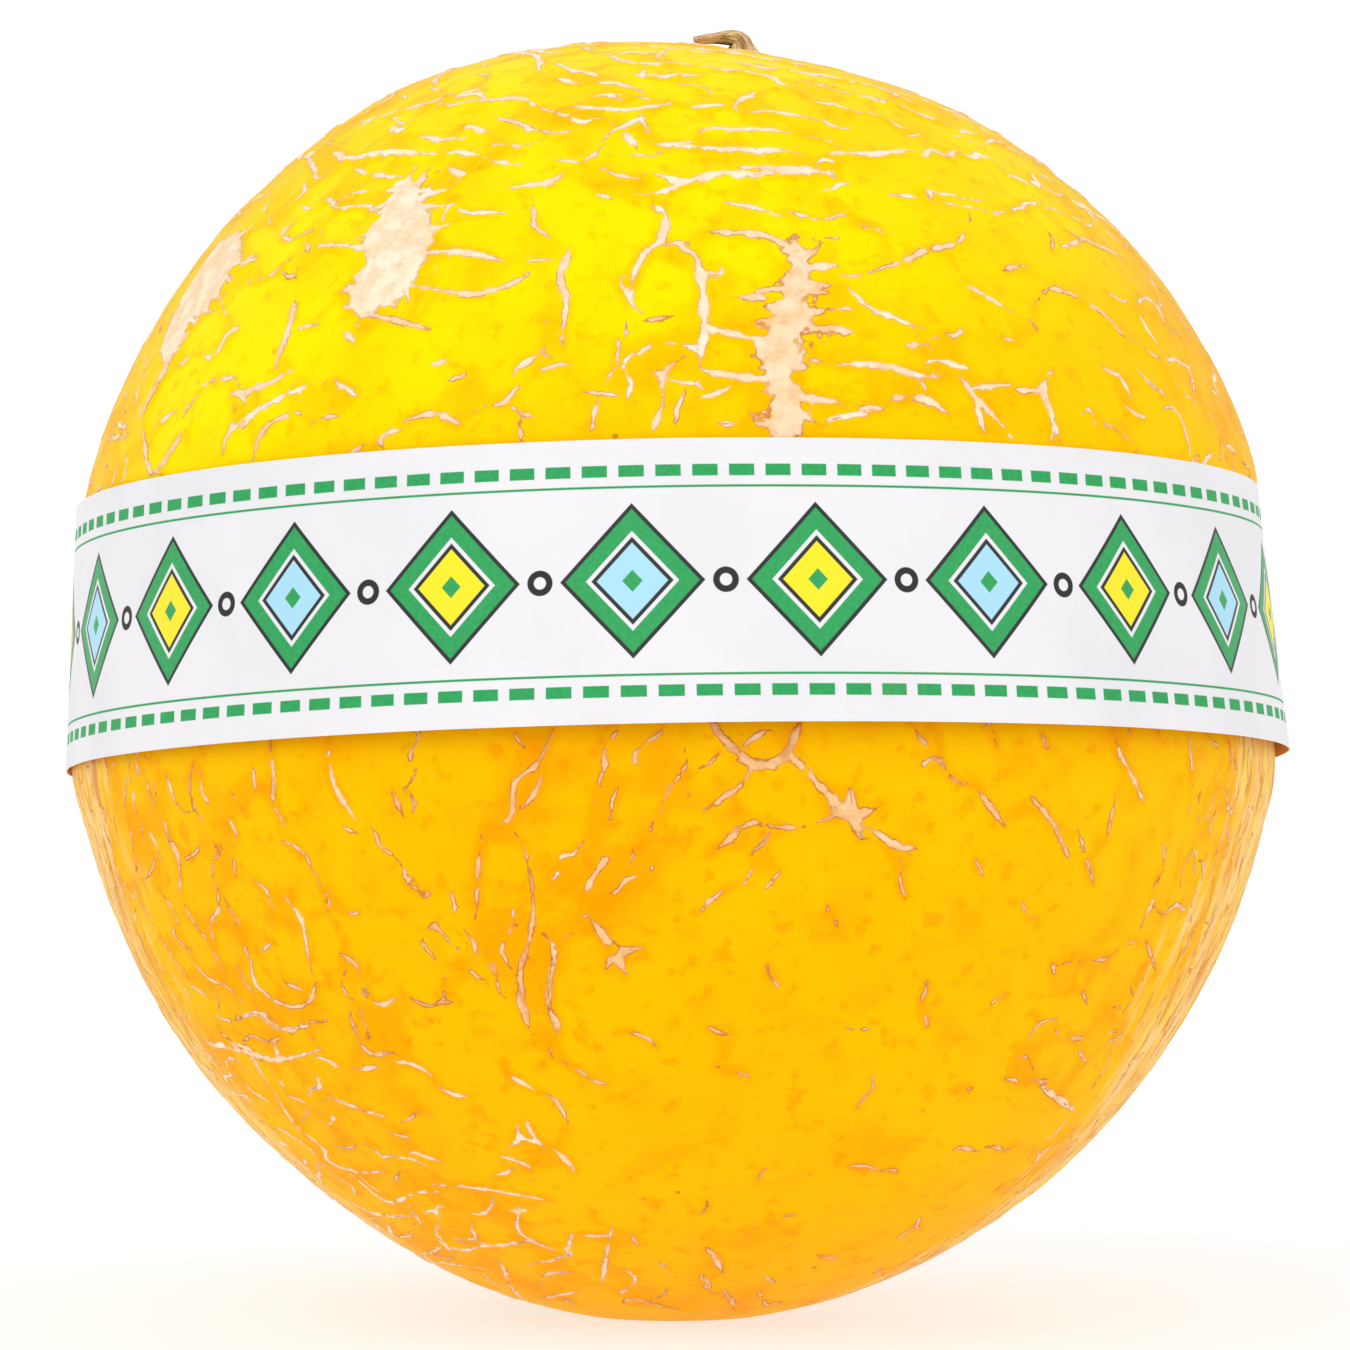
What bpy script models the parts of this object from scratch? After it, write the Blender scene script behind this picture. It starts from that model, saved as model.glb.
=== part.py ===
"""A ripe galia melon with a paper band round its waist and the dried stub of its stalk on top.

The fruit rests on a small flat spot at its lower end. The origin is the middle of that spot, +Z is up,
and the front of the fruit faces -Y. Units are metres, and angles are degrees.

A place on the fruit is given by its turn, from the front towards +X, and its rise above the level of
the fruit's centre.
"""

import math
import random

import bpy
from mathutils.geometry import delaunay_2d_cdt
import numpy as np

# The rind, without its net
HALF_WIDTH = 0.0684
HALF_HEIGHT = 0.0734
# Where the fruit is fuller than an ellipsoid, from the crown down: the angle from its top, the reach and
# the sharpness of each swell, and its height
SWELLS = [
    (26.0, 9.0, 2, 0.00033),
    (48.0, 30.0, 4, 0.00170),
    (60.0, 20.0, 4, 0.00050),
    (72.0, 9.0, 2, 0.00030),
    (98.5, 4.5, 2, 0.00075),
    (104.0, 9.0, 2, 0.00035),
    (130.0, 35.0, 4, 0.00030),
]
FLANK_DENT = 0.0008
FLANK_ANGLE = 147.0
FLANK_REACH = 18.0
FLANK_SIDE = 0.9
BELLY = 0.0001
LEAN = 0.0050
LEAN_REACH = 27.0
LUMP_HEIGHT = 0.00030
REST_RADIUS = 0.0110
REST_CORNERS = 32
REST_FADE = 4.0
REST_MARGIN = 0.6
SHARP_ANGLE = 22.0

# The raised corky net
STALK_TURN = 112.0
STALK_RISE = 83.0
NET_SEED = 41
NET_HEIGHT = 0.00040
NET_RIM = 0.00075
LEAST_HALF_WIDTH = 0.00075
PATCH_HALF_WIDTH = 0.0015
PATCH_ROUGHNESS = 0.00014
CRUMB_WAVES = 170.0
TWIG_SPACING = 0.0019
TWIG_LENGTHS = (0.0012, 0.0030)
TWIG_HALF_WIDTHS = (0.0006, 0.00045, 0.0002)
WALK_STEP = 0.0010
WAVE_SWING = 26.0
WAVE_LENGTHS = (0.0035, 0.0070)
WALK_DRIFT = 1.5
WALK_JITTER = 7
VEIN_SPACING = 0.0089
VEIN_TRIES = 14000
LOWEST_VEIN = -0.975
HIGHEST_VEIN = 0.992
VEIN_CLEARANCE = 0.34
CLOSEST_VEINS = 0.0016
VEIN_LENGTHS = (0.0065, 0.0165, 0.0105)
VEIN_HALF_WIDTHS = (0.00042, 0.00062)
FORK_SHARE = 0.30
FORK_ANGLES = (38.0, 75.0)
FORK_LENGTHS = (0.30, 0.55)
FORK_TAPER = (0.95, 0.35)

# The spacing of the fruit's corners
STATION_SPACING = 0.0032
PATCH_SPACING = 0.0016
FILL_SPACING = 0.0066
FILL_TRIES = 9
CLOSEST_STATIONS = 0.0013
CLOSEST_TOPS = 0.0011
CLOSEST_FEET = 0.00066

# The dried stub of the stalk
STALK_CLEAR = 7.0
STALK_GAP = 0.0006
STALK_BEND = [
    (0.0006, 0.0, 0.0000),
    (0.0003, 0.0, 0.0008),
    (-0.0006, 0.0, 0.0014),
    (-0.0024, -0.0002, 0.0016),
    (-0.0042, -0.0004, 0.0015),
    (-0.0058, -0.0006, 0.0013),
]
STALK_HALF_WIDTH = 0.0019
STALK_HALF_DEPTH = 0.0010
STALK_RIBS = 5
STALK_RIB_DEPTH = 0.10
STALK_TWIST = 2.0
STALK_TAPER = 0.35
STALK_DEPTH_TAPER = 0.3
STALK_FLARE = 0.9
STALK_FLARE_SHARE = 0.18
STALK_FOOT = 0.35
STALK_FOOT_SHARE = 0.3
STALK_SIDES = 14
STALK_RINGS = 13

# The paper band
BAND_WIDTH = 0.0300
BAND_MIDDLE = 0.0056
BAND_TIP_BACK = 4.3
BAND_TIP_LEFT = 1.0
BAND_FLARE = 0.073
BAND_FLARE_RIGHT = 0.024
BAND_GAP = 0.0003
PAPER = 0.0004
BAND_SIDES = 96
LAP_LENGTH = 0.0140
LAP_RAMP = 0.0040
LAP_TURN = 171.0
LAP_STEP_TURN = 0.002

# The main veins and corky patches: half width in millimetres, then turn and rise of each point on the way
MAIN_VEINS = [
    # corky patch high on the left, with its arms
    (3.4, [(-36.5, 48), (-35, 45), (-33, 41.5), (-32, 39), (-33, 36), (-34, 33.5)]),
    (0.6, [(-34.5, 45.5), (-34.5, 49.5)]),
    (0.5, [(-32, 43.5), (-32.5, 46), (-29.5, 47)]),
    (0.6, [(-30.5, 39.5), (-24, 39.5), (-19, 38.5)]),
    (0.6, [(-35, 40), (-44.5, 41)]),
    (0.6, [(-33, 37), (-38, 35.5)]),
    # long patch near the left edge
    (3.6, [(-68.5, 42), (-65, 39), (-65, 37), (-65.5, 35), (-65, 32.5), (-64.5, 31)]),
    (1.2, [(-64.5, 31), (-63.5, 29), (-64, 27), (-64.5, 25)]),
    (0.6, [(-63.5, 39), (-55.5, 40)]),
    (0.6, [(-63, 23), (-58, 19), (-53.5, 23.5)]),
    # upright patch right of the middle, with its arms
    (2.3, [(13.5, 40), (13.5, 37), (12.5, 35), (11.5, 31.5), (10, 28.5), (10.5, 25.5), (10, 21.5)]),
    (0.6, [(13.5, 37.5), (17.5, 38)]),
    (0.7, [(11.5, 30.5), (15, 31.5), (18.5, 31)]),
    (0.6, [(10.5, 25), (15.5, 24.5)]),
    (0.6, [(9.5, 26.5), (4.5, 27), (2.5, 27.5)]),
    (0.5, [(11.5, 34), (8.5, 34.5), (6, 34.5)]),
    (0.6, [(3.5, 41.5), (10.5, 41), (13.5, 39)]),
    # veins of the upper front
    (0.7, [(-2.5, 44.5), (-1, 43.5), (-1.5, 40.5), (-3.5, 38.5), (-4.5, 35)]),
    (0.7, [(0.5, 40), (2.5, 38.5), (3, 34.5), (3, 31.5), (2.5, 28)]),
    (0.6, [(3, 31.5), (7.5, 30.5)]),
    (0.6, [(-11.5, 39.5), (-12, 36.5), (-11, 34.5), (-11, 32)]),
    (0.5, [(-25, 35.5), (-21, 35), (-17, 36), (-15, 37.5)]),
    (0.5, [(-20.5, 47), (-16, 47.5), (-14, 49)]),
    (0.6, [(-57.5, 53), (-52.5, 52), (-44.5, 52.5), (-38, 52)]),
    (0.5, [(-31.5, 33), (-29, 32.5), (-25, 31.5)]),
    (0.6, [(-44, 35), (-43, 32), (-43, 29)]),
    (0.5, [(-48, 26), (-44, 26.5), (-40.5, 28)]),
    (0.6, [(-46.5, 22.5), (-43, 24.5), (-37.5, 26.5)]),
    (0.5, [(-42.5, 19.5), (-42, 22.5), (-38.5, 24)]),
    (0.5, [(-25.5, 23), (-22.5, 23.5), (-20, 22.5)]),
    (0.6, [(16, 28), (20, 28), (25, 27)]),
    (0.6, [(21, 25), (24, 25), (26.5, 23.5)]),
    (0.5, [(28.5, 27), (29.5, 25.5), (30, 22)]),
    (0.5, [(29.5, 25.5), (33, 21.5)]),
    (0.5, [(29.5, 26), (34, 26.5)]),
    (0.7, [(40, 28), (38, 26), (38.5, 21.5)]),
    (0.5, [(38, 26), (34.5, 26)]),
    (0.5, [(41.5, 35), (45.5, 36.5), (51.5, 34.5), (54, 32)]),
    (0.5, [(18.5, 35.5), (20.5, 33.5), (24.5, 32)]),
    (0.5, [(22, 37.5), (25.5, 38.5), (29.5, 40), (34, 41), (38, 44)]),
    (0.5, [(55.5, 43.5), (59, 42.5), (66, 41)]),
    (0.6, [(-2.5, 48.5), (1.5, 47.5), (5.5, 48.5), (10, 48.5), (15, 49), (20, 49)]),
    (0.5, [(-2, 52.5), (6, 52), (14.5, 52)]),
    (0.5, [(23, 52), (28.5, 52), (36, 53)]),
    # branching patch under the band, with its star
    (0.9, [(3, -3), (5, -5.5), (7, -7), (9.5, -6.5), (11, -3.5)]),
    (0.8, [(10, -6), (13, -9), (14.5, -10.5), (16, -11.5)]),
    (1.0, [(15.5, -9), (16, -11.5), (17, -13.5)]),
    (0.9, [(14, -11), (16, -11.5), (18.5, -10.5)]),
    (0.5, [(14.5, -11.5), (10.5, -12.5), (7, -12), (5, -13.5), (3, -15)]),
    (0.5, [(17.5, -12.5), (20, -14), (22.5, -14.5)]),
    (0.5, [(7, -7), (5.5, -9), (2.5, -11)]),
    # veins and cracks of the lower front
    (0.5, [(-10.5, -4), (-12, -7), (-14, -8.5), (-14.5, -11.5), (-17, -13), (-18, -16.5), (-18.5, -20)]),
    (0.5, [(-13.5, -14), (-13, -17), (-13, -20), (-14, -23.5), (-15, -26), (-15, -31)]),
    (0.5, [(-11.5, -23.5), (-12, -26), (-12.5, -29), (-12, -32)]),
    (0.5, [(-5, -14), (-7, -16.5), (-8.5, -19)]),
    (0.8, [(-7.5, -21), (-6.5, -22.5), (-5.5, -24), (-4.5, -26)]),
    (0.8, [(-6.5, -25.5), (-5.5, -24), (-3, -23.5)]),
    (0.5, [(-38.5, -5), (-38, -8.5), (-38.5, -10.5), (-37.5, -12.5)]),
    (0.5, [(-32, -5), (-31.5, -8.5), (-29.5, -12)]),
    (0.5, [(-39.5, -19), (-38, -21.5), (-38.5, -25)]),
    (0.6, [(27.5, -9), (31, -12.5)]),
    (0.6, [(33.5, -10), (36.5, -12.5), (39, -15.5)]),
    (0.5, [(39.5, -13), (43, -18)]),
    (0.6, [(43, -4), (44, -6.5), (47.5, -10.5)]),
    (0.5, [(43.5, -10), (43.5, -13.5)]),
    (0.5, [(54.5, -5), (55.5, -11.5)]),
    (0.5, [(54.5, -24), (59.5, -27.5)]),
    (0.5, [(41, -26), (43.5, -25.5), (48.5, -25.5)]),
    (0.7, [(46.5, -38.5), (57.5, -42)]),
    # wavy net low on the left
    (0.5, [(-47.5, -22), (-47, -25.5), (-47.5, -28), (-44, -30), (-40.5, -29.5), (-38.5, -27.5)]),
    (0.5, [(-59, -31), (-55.5, -32), (-49.5, -31), (-47, -32.5), (-42, -32)]),
    (0.5, [(-65, -34.5), (-54.5, -35.5), (-50.5, -36), (-41.5, -34.5)]),
    (0.5, [(-35.5, -31), (-35, -34.5), (-31.5, -34.5)]),
    (0.6, [(-55, -40.5), (-56, -43.5), (-54, -47), (-56, -49), (-50, -50), (-44, -49.5)]),
    (0.6, [(-53, -51), (-50.5, -54.5), (-41.5, -52.5), (-36.5, -52)]),
    (0.5, [(-36.5, -51), (-31, -51), (-25, -51.5), (-18, -52.5)]),
    (0.5, [(-44, -40), (-41, -41), (-37, -42)]),
    (0.6, [(-24, -54), (-26.5, -58), (-22, -61)]),
    (0.6, [(-10, -56.5), (-12.5, -61.5), (-16.5, -67)]),
    (0.6, [(-15, -72.5), (-10.5, -71), (1, -74.5)]),
]


def spot(turn, rise):
    """The unit direction of a place on the fruit, from its centre."""
    across = math.radians(turn)
    up = math.radians(rise)
    return np.array([math.sin(across) * math.cos(up), -math.cos(across) * math.cos(up), math.sin(up)])


def unit(vectors):
    """Vectors scaled to length one."""
    return vectors / np.linalg.norm(vectors, axis=-1, keepdims=True)


def turn_and_rise(direction):
    """The turn and rise of a unit direction."""
    turn = math.degrees(math.atan2(direction[0], -direction[1]))
    return turn, math.degrees(math.asin(max(-1.0, min(1.0, direction[2]))))


def swell(angle, middle, reach, power):
    """A smooth hump: one at its middle, and near nothing beyond its reach."""
    return np.exp(-(np.abs(angle - middle) / reach) ** power)


def rind_radius(directions):
    """Distance from the centre to the bare rind: an ellipsoid with full shoulders and a slight lean."""
    x, y, z = np.moveaxis(directions, -1, 0)
    level = np.hypot(x, y)
    angle = np.degrees(np.arctan2(level, z))
    radius = 1.0 / np.sqrt((level / HALF_WIDTH) ** 2 + (z / HALF_HEIGHT) ** 2)
    for middle, reach, power, height in SWELLS:
        radius = radius + height * swell(angle, middle, reach, power)
    dent = FLANK_DENT * swell(angle, FLANK_ANGLE, FLANK_REACH, 2)
    radius = radius - dent * (1 - FLANK_SIDE * x)
    lean = LEAN * swell(angle, 0.0, LEAN_REACH, 2)
    radius = radius - (lean + BELLY) * x
    lumps = np.sin(3.1 * x + 4.3 * z + 0.4) * np.sin(4.7 * y - 2.9 * z + 1.1) * np.sin(2.3 * x + 3.7 * y)
    return radius + LUMP_HEIGHT * lumps * level


REST_ANGLE = math.atan2(REST_RADIUS, HALF_HEIGHT)
CENTRE_HEIGHT = float(rind_radius(spot(0.0, math.degrees(REST_ANGLE) - 90.0))) * math.cos(REST_ANGLE)
MEAN_RADIUS = (HALF_WIDTH + HALF_HEIGHT) / 2
STALK = spot(STALK_TURN, STALK_RISE)


def near_stalk(direction):
    """Whether a direction is under the stalk's foot, where the rind stays bare."""
    return float(np.dot(direction, STALK)) > math.cos(math.radians(STALK_CLEAR))


def compass(direction):
    """East and north along the rind, where north is towards the stalk."""
    east = unit(np.cross(STALK, direction))
    return east, np.cross(direction, east)


def smooth_path(corners, step):
    """Directions a step apart on a smooth curve through the corners."""
    places = [spot(turn, rise) for turn, rise in corners]
    places = [2 * places[0] - places[1]] + places + [2 * places[-1] - places[-2]]
    way = []
    for before, start, end, after in zip(places, places[1:], places[2:], places[3:]):
        count = max(1, round(np.linalg.norm(end - start) * MEAN_RADIUS / step))
        for part in np.arange(count) / count:
            tension = 2 * start + (end - before) * part
            bend = (2 * before - 5 * start + 4 * end - after) * part**2
            twist = (3 * start - before - 3 * end + after) * part**3
            way.append((tension + bend + twist) / 2)
    way.append(places[-2])
    return unit(np.array(way))


def tapered(count, half_width):
    """Half widths along a vein, which thins out towards both ends."""
    along = np.linspace(0.0, 1.0, count)
    return half_width * (0.35 + 0.65 * np.sin(math.pi * along) ** 0.45)


def net_spacing(turn, rise):
    """How far apart the veins lie, against their mean: closest on top and at the sides, wide on the cheek."""
    if rise > 48:
        return 0.78
    if abs(turn) < 100 and rise < -12 and 0 < turn < 42:
        return 2.3 if rise > -62 else 1.3
    if rise < -30 and -90 < turn < -25:
        return 0.82
    if 52 < turn < 85 and rise < 15:
        return 0.80
    if -90 < turn < -50:
        return 0.85
    return 1.0


def net_heading(turn, rise, draw):
    """The way that a vein runs, in degrees from east towards north."""
    if rise > 46 + draw.uniform(-4, 4):
        return draw.gauss(0, 14)
    if abs(turn) > 95:
        return draw.gauss(90, 40)
    if rise > 2:
        return draw.gauss(90, 28) if draw.random() < 0.38 else draw.gauss(-8, 26)
    if 55 < turn:
        return draw.gauss(92, 9)
    if rise > -32 + draw.uniform(-5, 5):
        if turn < -18:
            return draw.gauss(108, 17)
        return draw.gauss(72, 16) if turn < 14 else draw.gauss(116, 18)
    if turn < 0:
        return draw.gauss(168, 24)
    return draw.gauss(90, 22) if draw.random() < 0.35 else draw.gauss(5, 25)


def walk(start, heading, length, taken, draw):
    """A wavy way from start. It ends early where it comes close to another vein."""
    place = start
    way = [place]
    wave = draw.uniform(0, 2 * math.pi)
    wave_length = draw.uniform(*WAVE_LENGTHS)
    drift = WALK_DRIFT * draw.gauss(0, 1.0)
    steps = max(3, round(length / WALK_STEP))
    for number in range(steps):
        east, north = compass(place)
        swing = WAVE_SWING * math.sin(wave + 2 * math.pi * number * WALK_STEP / wave_length)
        angle = math.radians(heading + drift * number + swing + draw.gauss(0, WALK_JITTER))
        ahead = (math.cos(angle) * east + math.sin(angle) * north) * WALK_STEP / MEAN_RADIUS
        place = unit(place + ahead)
        near = np.min(np.linalg.norm(taken - place, axis=1)) * MEAN_RADIUS
        if number > 1 and (near < CLOSEST_VEINS or near_stalk(place)):
            break
        way.append(place)
    return np.array(way)


def frayed_edge(way, half_width, draw):
    """Short twigs that fray both edges of a corky patch."""
    ahead = unit(np.gradient(way, axis=0))
    twigs = []
    for number in range(1, len(way) - 1, round(TWIG_SPACING / WALK_STEP)):
        for sign in (-1, 1):
            side = unit(np.cross(way[number], ahead[number])) * sign
            slant = unit(side + ahead[number] * draw.uniform(-0.8, 0.8))
            root = unit(way[number] + side * (half_width[number] - TWIG_HALF_WIDTHS[0]) / MEAN_RADIUS)
            tip = unit(root + slant * draw.uniform(*TWIG_LENGTHS) / MEAN_RADIUS)
            twigs.append((np.array([root, unit(root + tip), tip]), np.array(TWIG_HALF_WIDTHS)))
    return twigs


def main_veins():
    """The veins and patches placed by hand, and the frayed edges of the patches."""
    draw = random.Random(NET_SEED)
    veins = []
    for half_width, corners in MAIN_VEINS:
        way = smooth_path(corners, WALK_STEP)
        wide = tapered(len(way), half_width / 1000)
        veins.append((way, wide))
        if half_width / 1000 > PATCH_HALF_WIDTH:
            veins += frayed_edge(way, wide, draw)
    return veins


def grown_veins(veins, seed, spacing, tries, lengths, half_widths):
    """Veins drawn at random between those given, in the density and the headings of the fruit's net."""
    draw = random.Random(seed)
    taken = np.concatenate([way for way, _ in veins])
    middles = [way[len(way) // 2] for way, _ in veins]
    grown = []
    for _ in range(tries):
        up = draw.uniform(LOWEST_VEIN, HIGHEST_VEIN)
        across = draw.uniform(-math.pi, math.pi)
        level = math.sqrt(1 - up * up)
        start = np.array([level * math.sin(across), -level * math.cos(across), up])
        turn, rise = turn_and_rise(start)
        apart = spacing * net_spacing(turn, rise) / MEAN_RADIUS
        if np.min(np.linalg.norm(np.array(middles) - start, axis=1)) < apart:
            continue
        if np.min(np.linalg.norm(taken - start, axis=1)) < apart * VEIN_CLEARANCE:
            continue
        if near_stalk(start):
            continue
        heading = net_heading(turn, rise, draw)
        length = draw.triangular(*lengths)
        east, north = compass(start)
        back = math.radians(heading)
        step_back = (math.cos(back) * east + math.sin(back) * north) * length / 2 / MEAN_RADIUS
        way = walk(unit(start - step_back), heading, length, taken, draw)
        if len(way) < 4:
            continue
        half_width = draw.uniform(*half_widths)
        new = [(way, tapered(len(way), half_width))]
        if draw.random() < FORK_SHARE and len(way) > 5:
            fork = way[draw.randrange(2, len(way) - 2)]
            side = heading + draw.choice([-1, 1]) * draw.uniform(*FORK_ANGLES)
            twig = walk(fork, side, length * draw.uniform(*FORK_LENGTHS), taken, draw)
            new.append((twig, half_width * np.linspace(*FORK_TAPER, len(twig))))
        middles.append(start)
        for vein in new:
            taken = np.concatenate([taken, vein[0]])
            grown.append(vein)
    return grown


def crumb_pattern(directions):
    """An uneven pattern between -1 and 1, about 2 mm from crumb to crumb."""
    x, y, z = np.moveaxis(directions * CRUMB_WAVES, -1, 0)
    return np.sin(x + 2 * np.sin(0.7 * z)) * np.sin(1.1 * y + np.sin(0.9 * x)) * np.sin(1.3 * z + 0.5 * y)


def net_height(directions, veins):
    """How far the net stands out of the rind at each direction."""
    height = np.zeros(len(directions))
    for way, half_width in veins:
        middle = unit(way.mean(axis=0))
        reach = np.max(np.linalg.norm(way - middle, axis=1)) + np.max(half_width) / MEAN_RADIUS
        near = np.nonzero(np.linalg.norm(directions - middle, axis=1) < reach)[0]
        if len(near) == 0:
            continue
        start = way[:-1]
        run = way[1:] - start
        offset = directions[near][:, None, :] - start[None]
        part = np.clip((offset * run).sum(axis=2) / (run * run).sum(axis=1), 0, 1)
        gap = np.linalg.norm(offset - part[..., None] * run, axis=2) * MEAN_RADIUS
        wide = half_width[:-1] + part * (half_width[1:] - half_width[:-1])
        inside = np.max(wide - gap, axis=1)
        crest = NET_HEIGHT * np.clip(inside / NET_RIM, 0, 1)
        crumbs = PATCH_ROUGHNESS * crumb_pattern(directions[near])
        crest = crest + crumbs * np.clip((inside - NET_RIM) / NET_RIM, 0, 1)
        height[near] = np.maximum(height[near], crest)
    return height


def rind_point(directions, raised):
    """Points on the fruit, with its centre at the origin, a given height above the rind."""
    angle = np.arccos(np.clip(-directions[:, 2], -1, 1))
    fade = np.clip((angle - REST_ANGLE) / math.radians(REST_FADE), 0, 1)
    points = directions * (rind_radius(directions) + raised * fade)[:, None]
    points[:, 2] = np.maximum(points[:, 2], -CENTRE_HEIGHT)
    return points


class Chooser:
    """Keeps directions that are not too close to those kept before."""

    CELL = FILL_SPACING / MEAN_RADIUS

    def __init__(self):
        self.kept = []
        self.cells = {}

    def cell(self, direction):
        return tuple(int(math.floor(value / self.CELL)) for value in direction)

    def crowded(self, direction, apart):
        i, j, k = self.cell(direction)
        for di in (-1, 0, 1):
            for dj in (-1, 0, 1):
                for dk in (-1, 0, 1):
                    for other in self.cells.get((i + di, j + dj, k + dk), ()):
                        if np.linalg.norm(self.kept[other] - direction) < apart:
                            return True
        return False

    def add(self, direction, apart):
        if self.crowded(direction, apart / MEAN_RADIUS):
            return
        if direction[2] < -math.cos(REST_ANGLE + REST_MARGIN * apart / MEAN_RADIUS):
            return
        self.cells.setdefault(self.cell(direction), []).append(len(self.kept))
        self.kept.append(direction)


def stations(way, half_width, spacing):
    """Places along a vein, with its direction and half width at each."""
    gaps = np.linalg.norm(np.diff(way, axis=0), axis=1) * MEAN_RADIUS
    run = np.concatenate([[0], np.cumsum(gaps)])
    count = max(2, round(run[-1] / spacing))
    wanted = np.linspace(0, run[-1], count + 1)
    places = unit(np.stack([np.interp(wanted, run, way[:, axis]) for axis in range(3)], axis=1))
    ahead = np.gradient(places, axis=0)
    return places, unit(ahead), np.interp(wanted, run, half_width)


def corner_directions(veins):
    """Where the fruit's corners go: along each vein, at its two feet, and between the veins."""
    chooser = Chooser()
    feet = []
    tops = []
    for way, half_width in veins:
        spacing = PATCH_SPACING if np.max(half_width) > PATCH_HALF_WIDTH else STATION_SPACING
        places, ahead, wide = stations(way, half_width, spacing)
        for number, (place, forward, half) in enumerate(zip(places, ahead, wide)):
            chooser.add(place, CLOSEST_STATIONS)
            side = unit(np.cross(place, forward))
            if 0 < number < len(places) - 1:
                feet += [unit(place + side * sign * half / MEAN_RADIUS) for sign in (-1, 1)]
            if half > 2 * NET_RIM:
                across = np.arange(-half + NET_RIM, half - NET_RIM / 2, PATCH_SPACING)
                tops += [unit(place + side * shift / MEAN_RADIUS) for shift in across]
    for top in tops:
        chooser.add(top, CLOSEST_TOPS)
    for foot in feet:
        chooser.add(foot, CLOSEST_FEET)
    count = round(4 * math.pi * (MEAN_RADIUS / FILL_SPACING) ** 2 * FILL_TRIES)
    golden = math.pi * (3 - math.sqrt(5))
    draw = random.Random(NET_SEED + 1)
    order = list(range(count))
    draw.shuffle(order)
    for number in order:
        up = 1 - (2 * number + 1) / count
        level = math.sqrt(1 - up * up)
        direction = np.array([level * math.cos(number * golden), level * math.sin(number * golden), up])
        chooser.add(direction, FILL_SPACING)
    return np.array(chooser.kept)


def fruit_mesh(veins):
    """The fruit as one closed skin. Its corners are joined on a flat map of the sphere, seen from below."""
    rim_turns = 2 * math.pi * np.arange(REST_CORNERS) / REST_CORNERS
    level = math.sin(REST_ANGLE)
    rim = np.stack([level * np.cos(rim_turns), level * np.sin(rim_turns)], axis=1)
    rim = np.column_stack([rim, np.full(REST_CORNERS, -math.cos(REST_ANGLE))])
    inner = corner_directions(veins)
    points = rind_point(inner, net_height(inner, veins))
    rim_points = rim * (CENTRE_HEIGHT / math.cos(REST_ANGLE))
    directions = np.concatenate([rim, inner])
    flat_map = directions[:, :2] / (1 + directions[:, 2])[:, None]
    faces = delaunay_2d_cdt([tuple(place) for place in flat_map], [], [], 0, 1e-9, False)[2]
    corners = np.concatenate([rim_points, points, [[0, 0, -CENTRE_HEIGHT]]])
    corners[:, 2] += CENTRE_HEIGHT
    corners[:REST_CORNERS, 2] = 0.0
    corners[-1, 2] = 0.0
    last = len(corners) - 1
    faces = [list(face) for face in faces]
    for number in range(REST_CORNERS):
        faces.append([(number + 1) % REST_CORNERS, number, last])
    return corners, faces


def add_object(name, corners, faces, material):
    """A named object of these corners and faces, smooth but for its sharp edges."""
    mesh = bpy.data.meshes.new(name)
    mesh.from_pydata([tuple(corner) for corner in corners], [], faces)
    mesh.materials.append(material)
    mesh.shade_smooth()
    mesh.set_sharp_from_angle(angle=math.radians(SHARP_ANGLE))
    thing = bpy.data.objects.new(name, mesh)
    bpy.context.scene.collection.objects.link(thing)
    return thing


def finish(name, colour, roughness):
    """A plain material."""
    material = bpy.data.materials.new(name)
    material.use_nodes = True
    shader = material.node_tree.nodes["Principled BSDF"]
    shader.inputs["Base Color"].default_value = (*colour, 1.0)
    shader.inputs["Roughness"].default_value = roughness
    shader.inputs["Metallic"].default_value = 0.0
    return material


def make_fruit():
    """The fruit, with its corky net raised from the rind."""
    veins = main_veins()
    veins += grown_veins(veins, NET_SEED, VEIN_SPACING, VEIN_TRIES, VEIN_LENGTHS, VEIN_HALF_WIDTHS)
    veins = [(way, np.maximum(half_width, LEAST_HALF_WIDTH)) for way, half_width in veins]
    corners, faces = fruit_mesh(veins)
    return add_object("fruit", corners, faces, finish("ripe rind", (1.0, 0.76, 0.03), 0.45))


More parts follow.
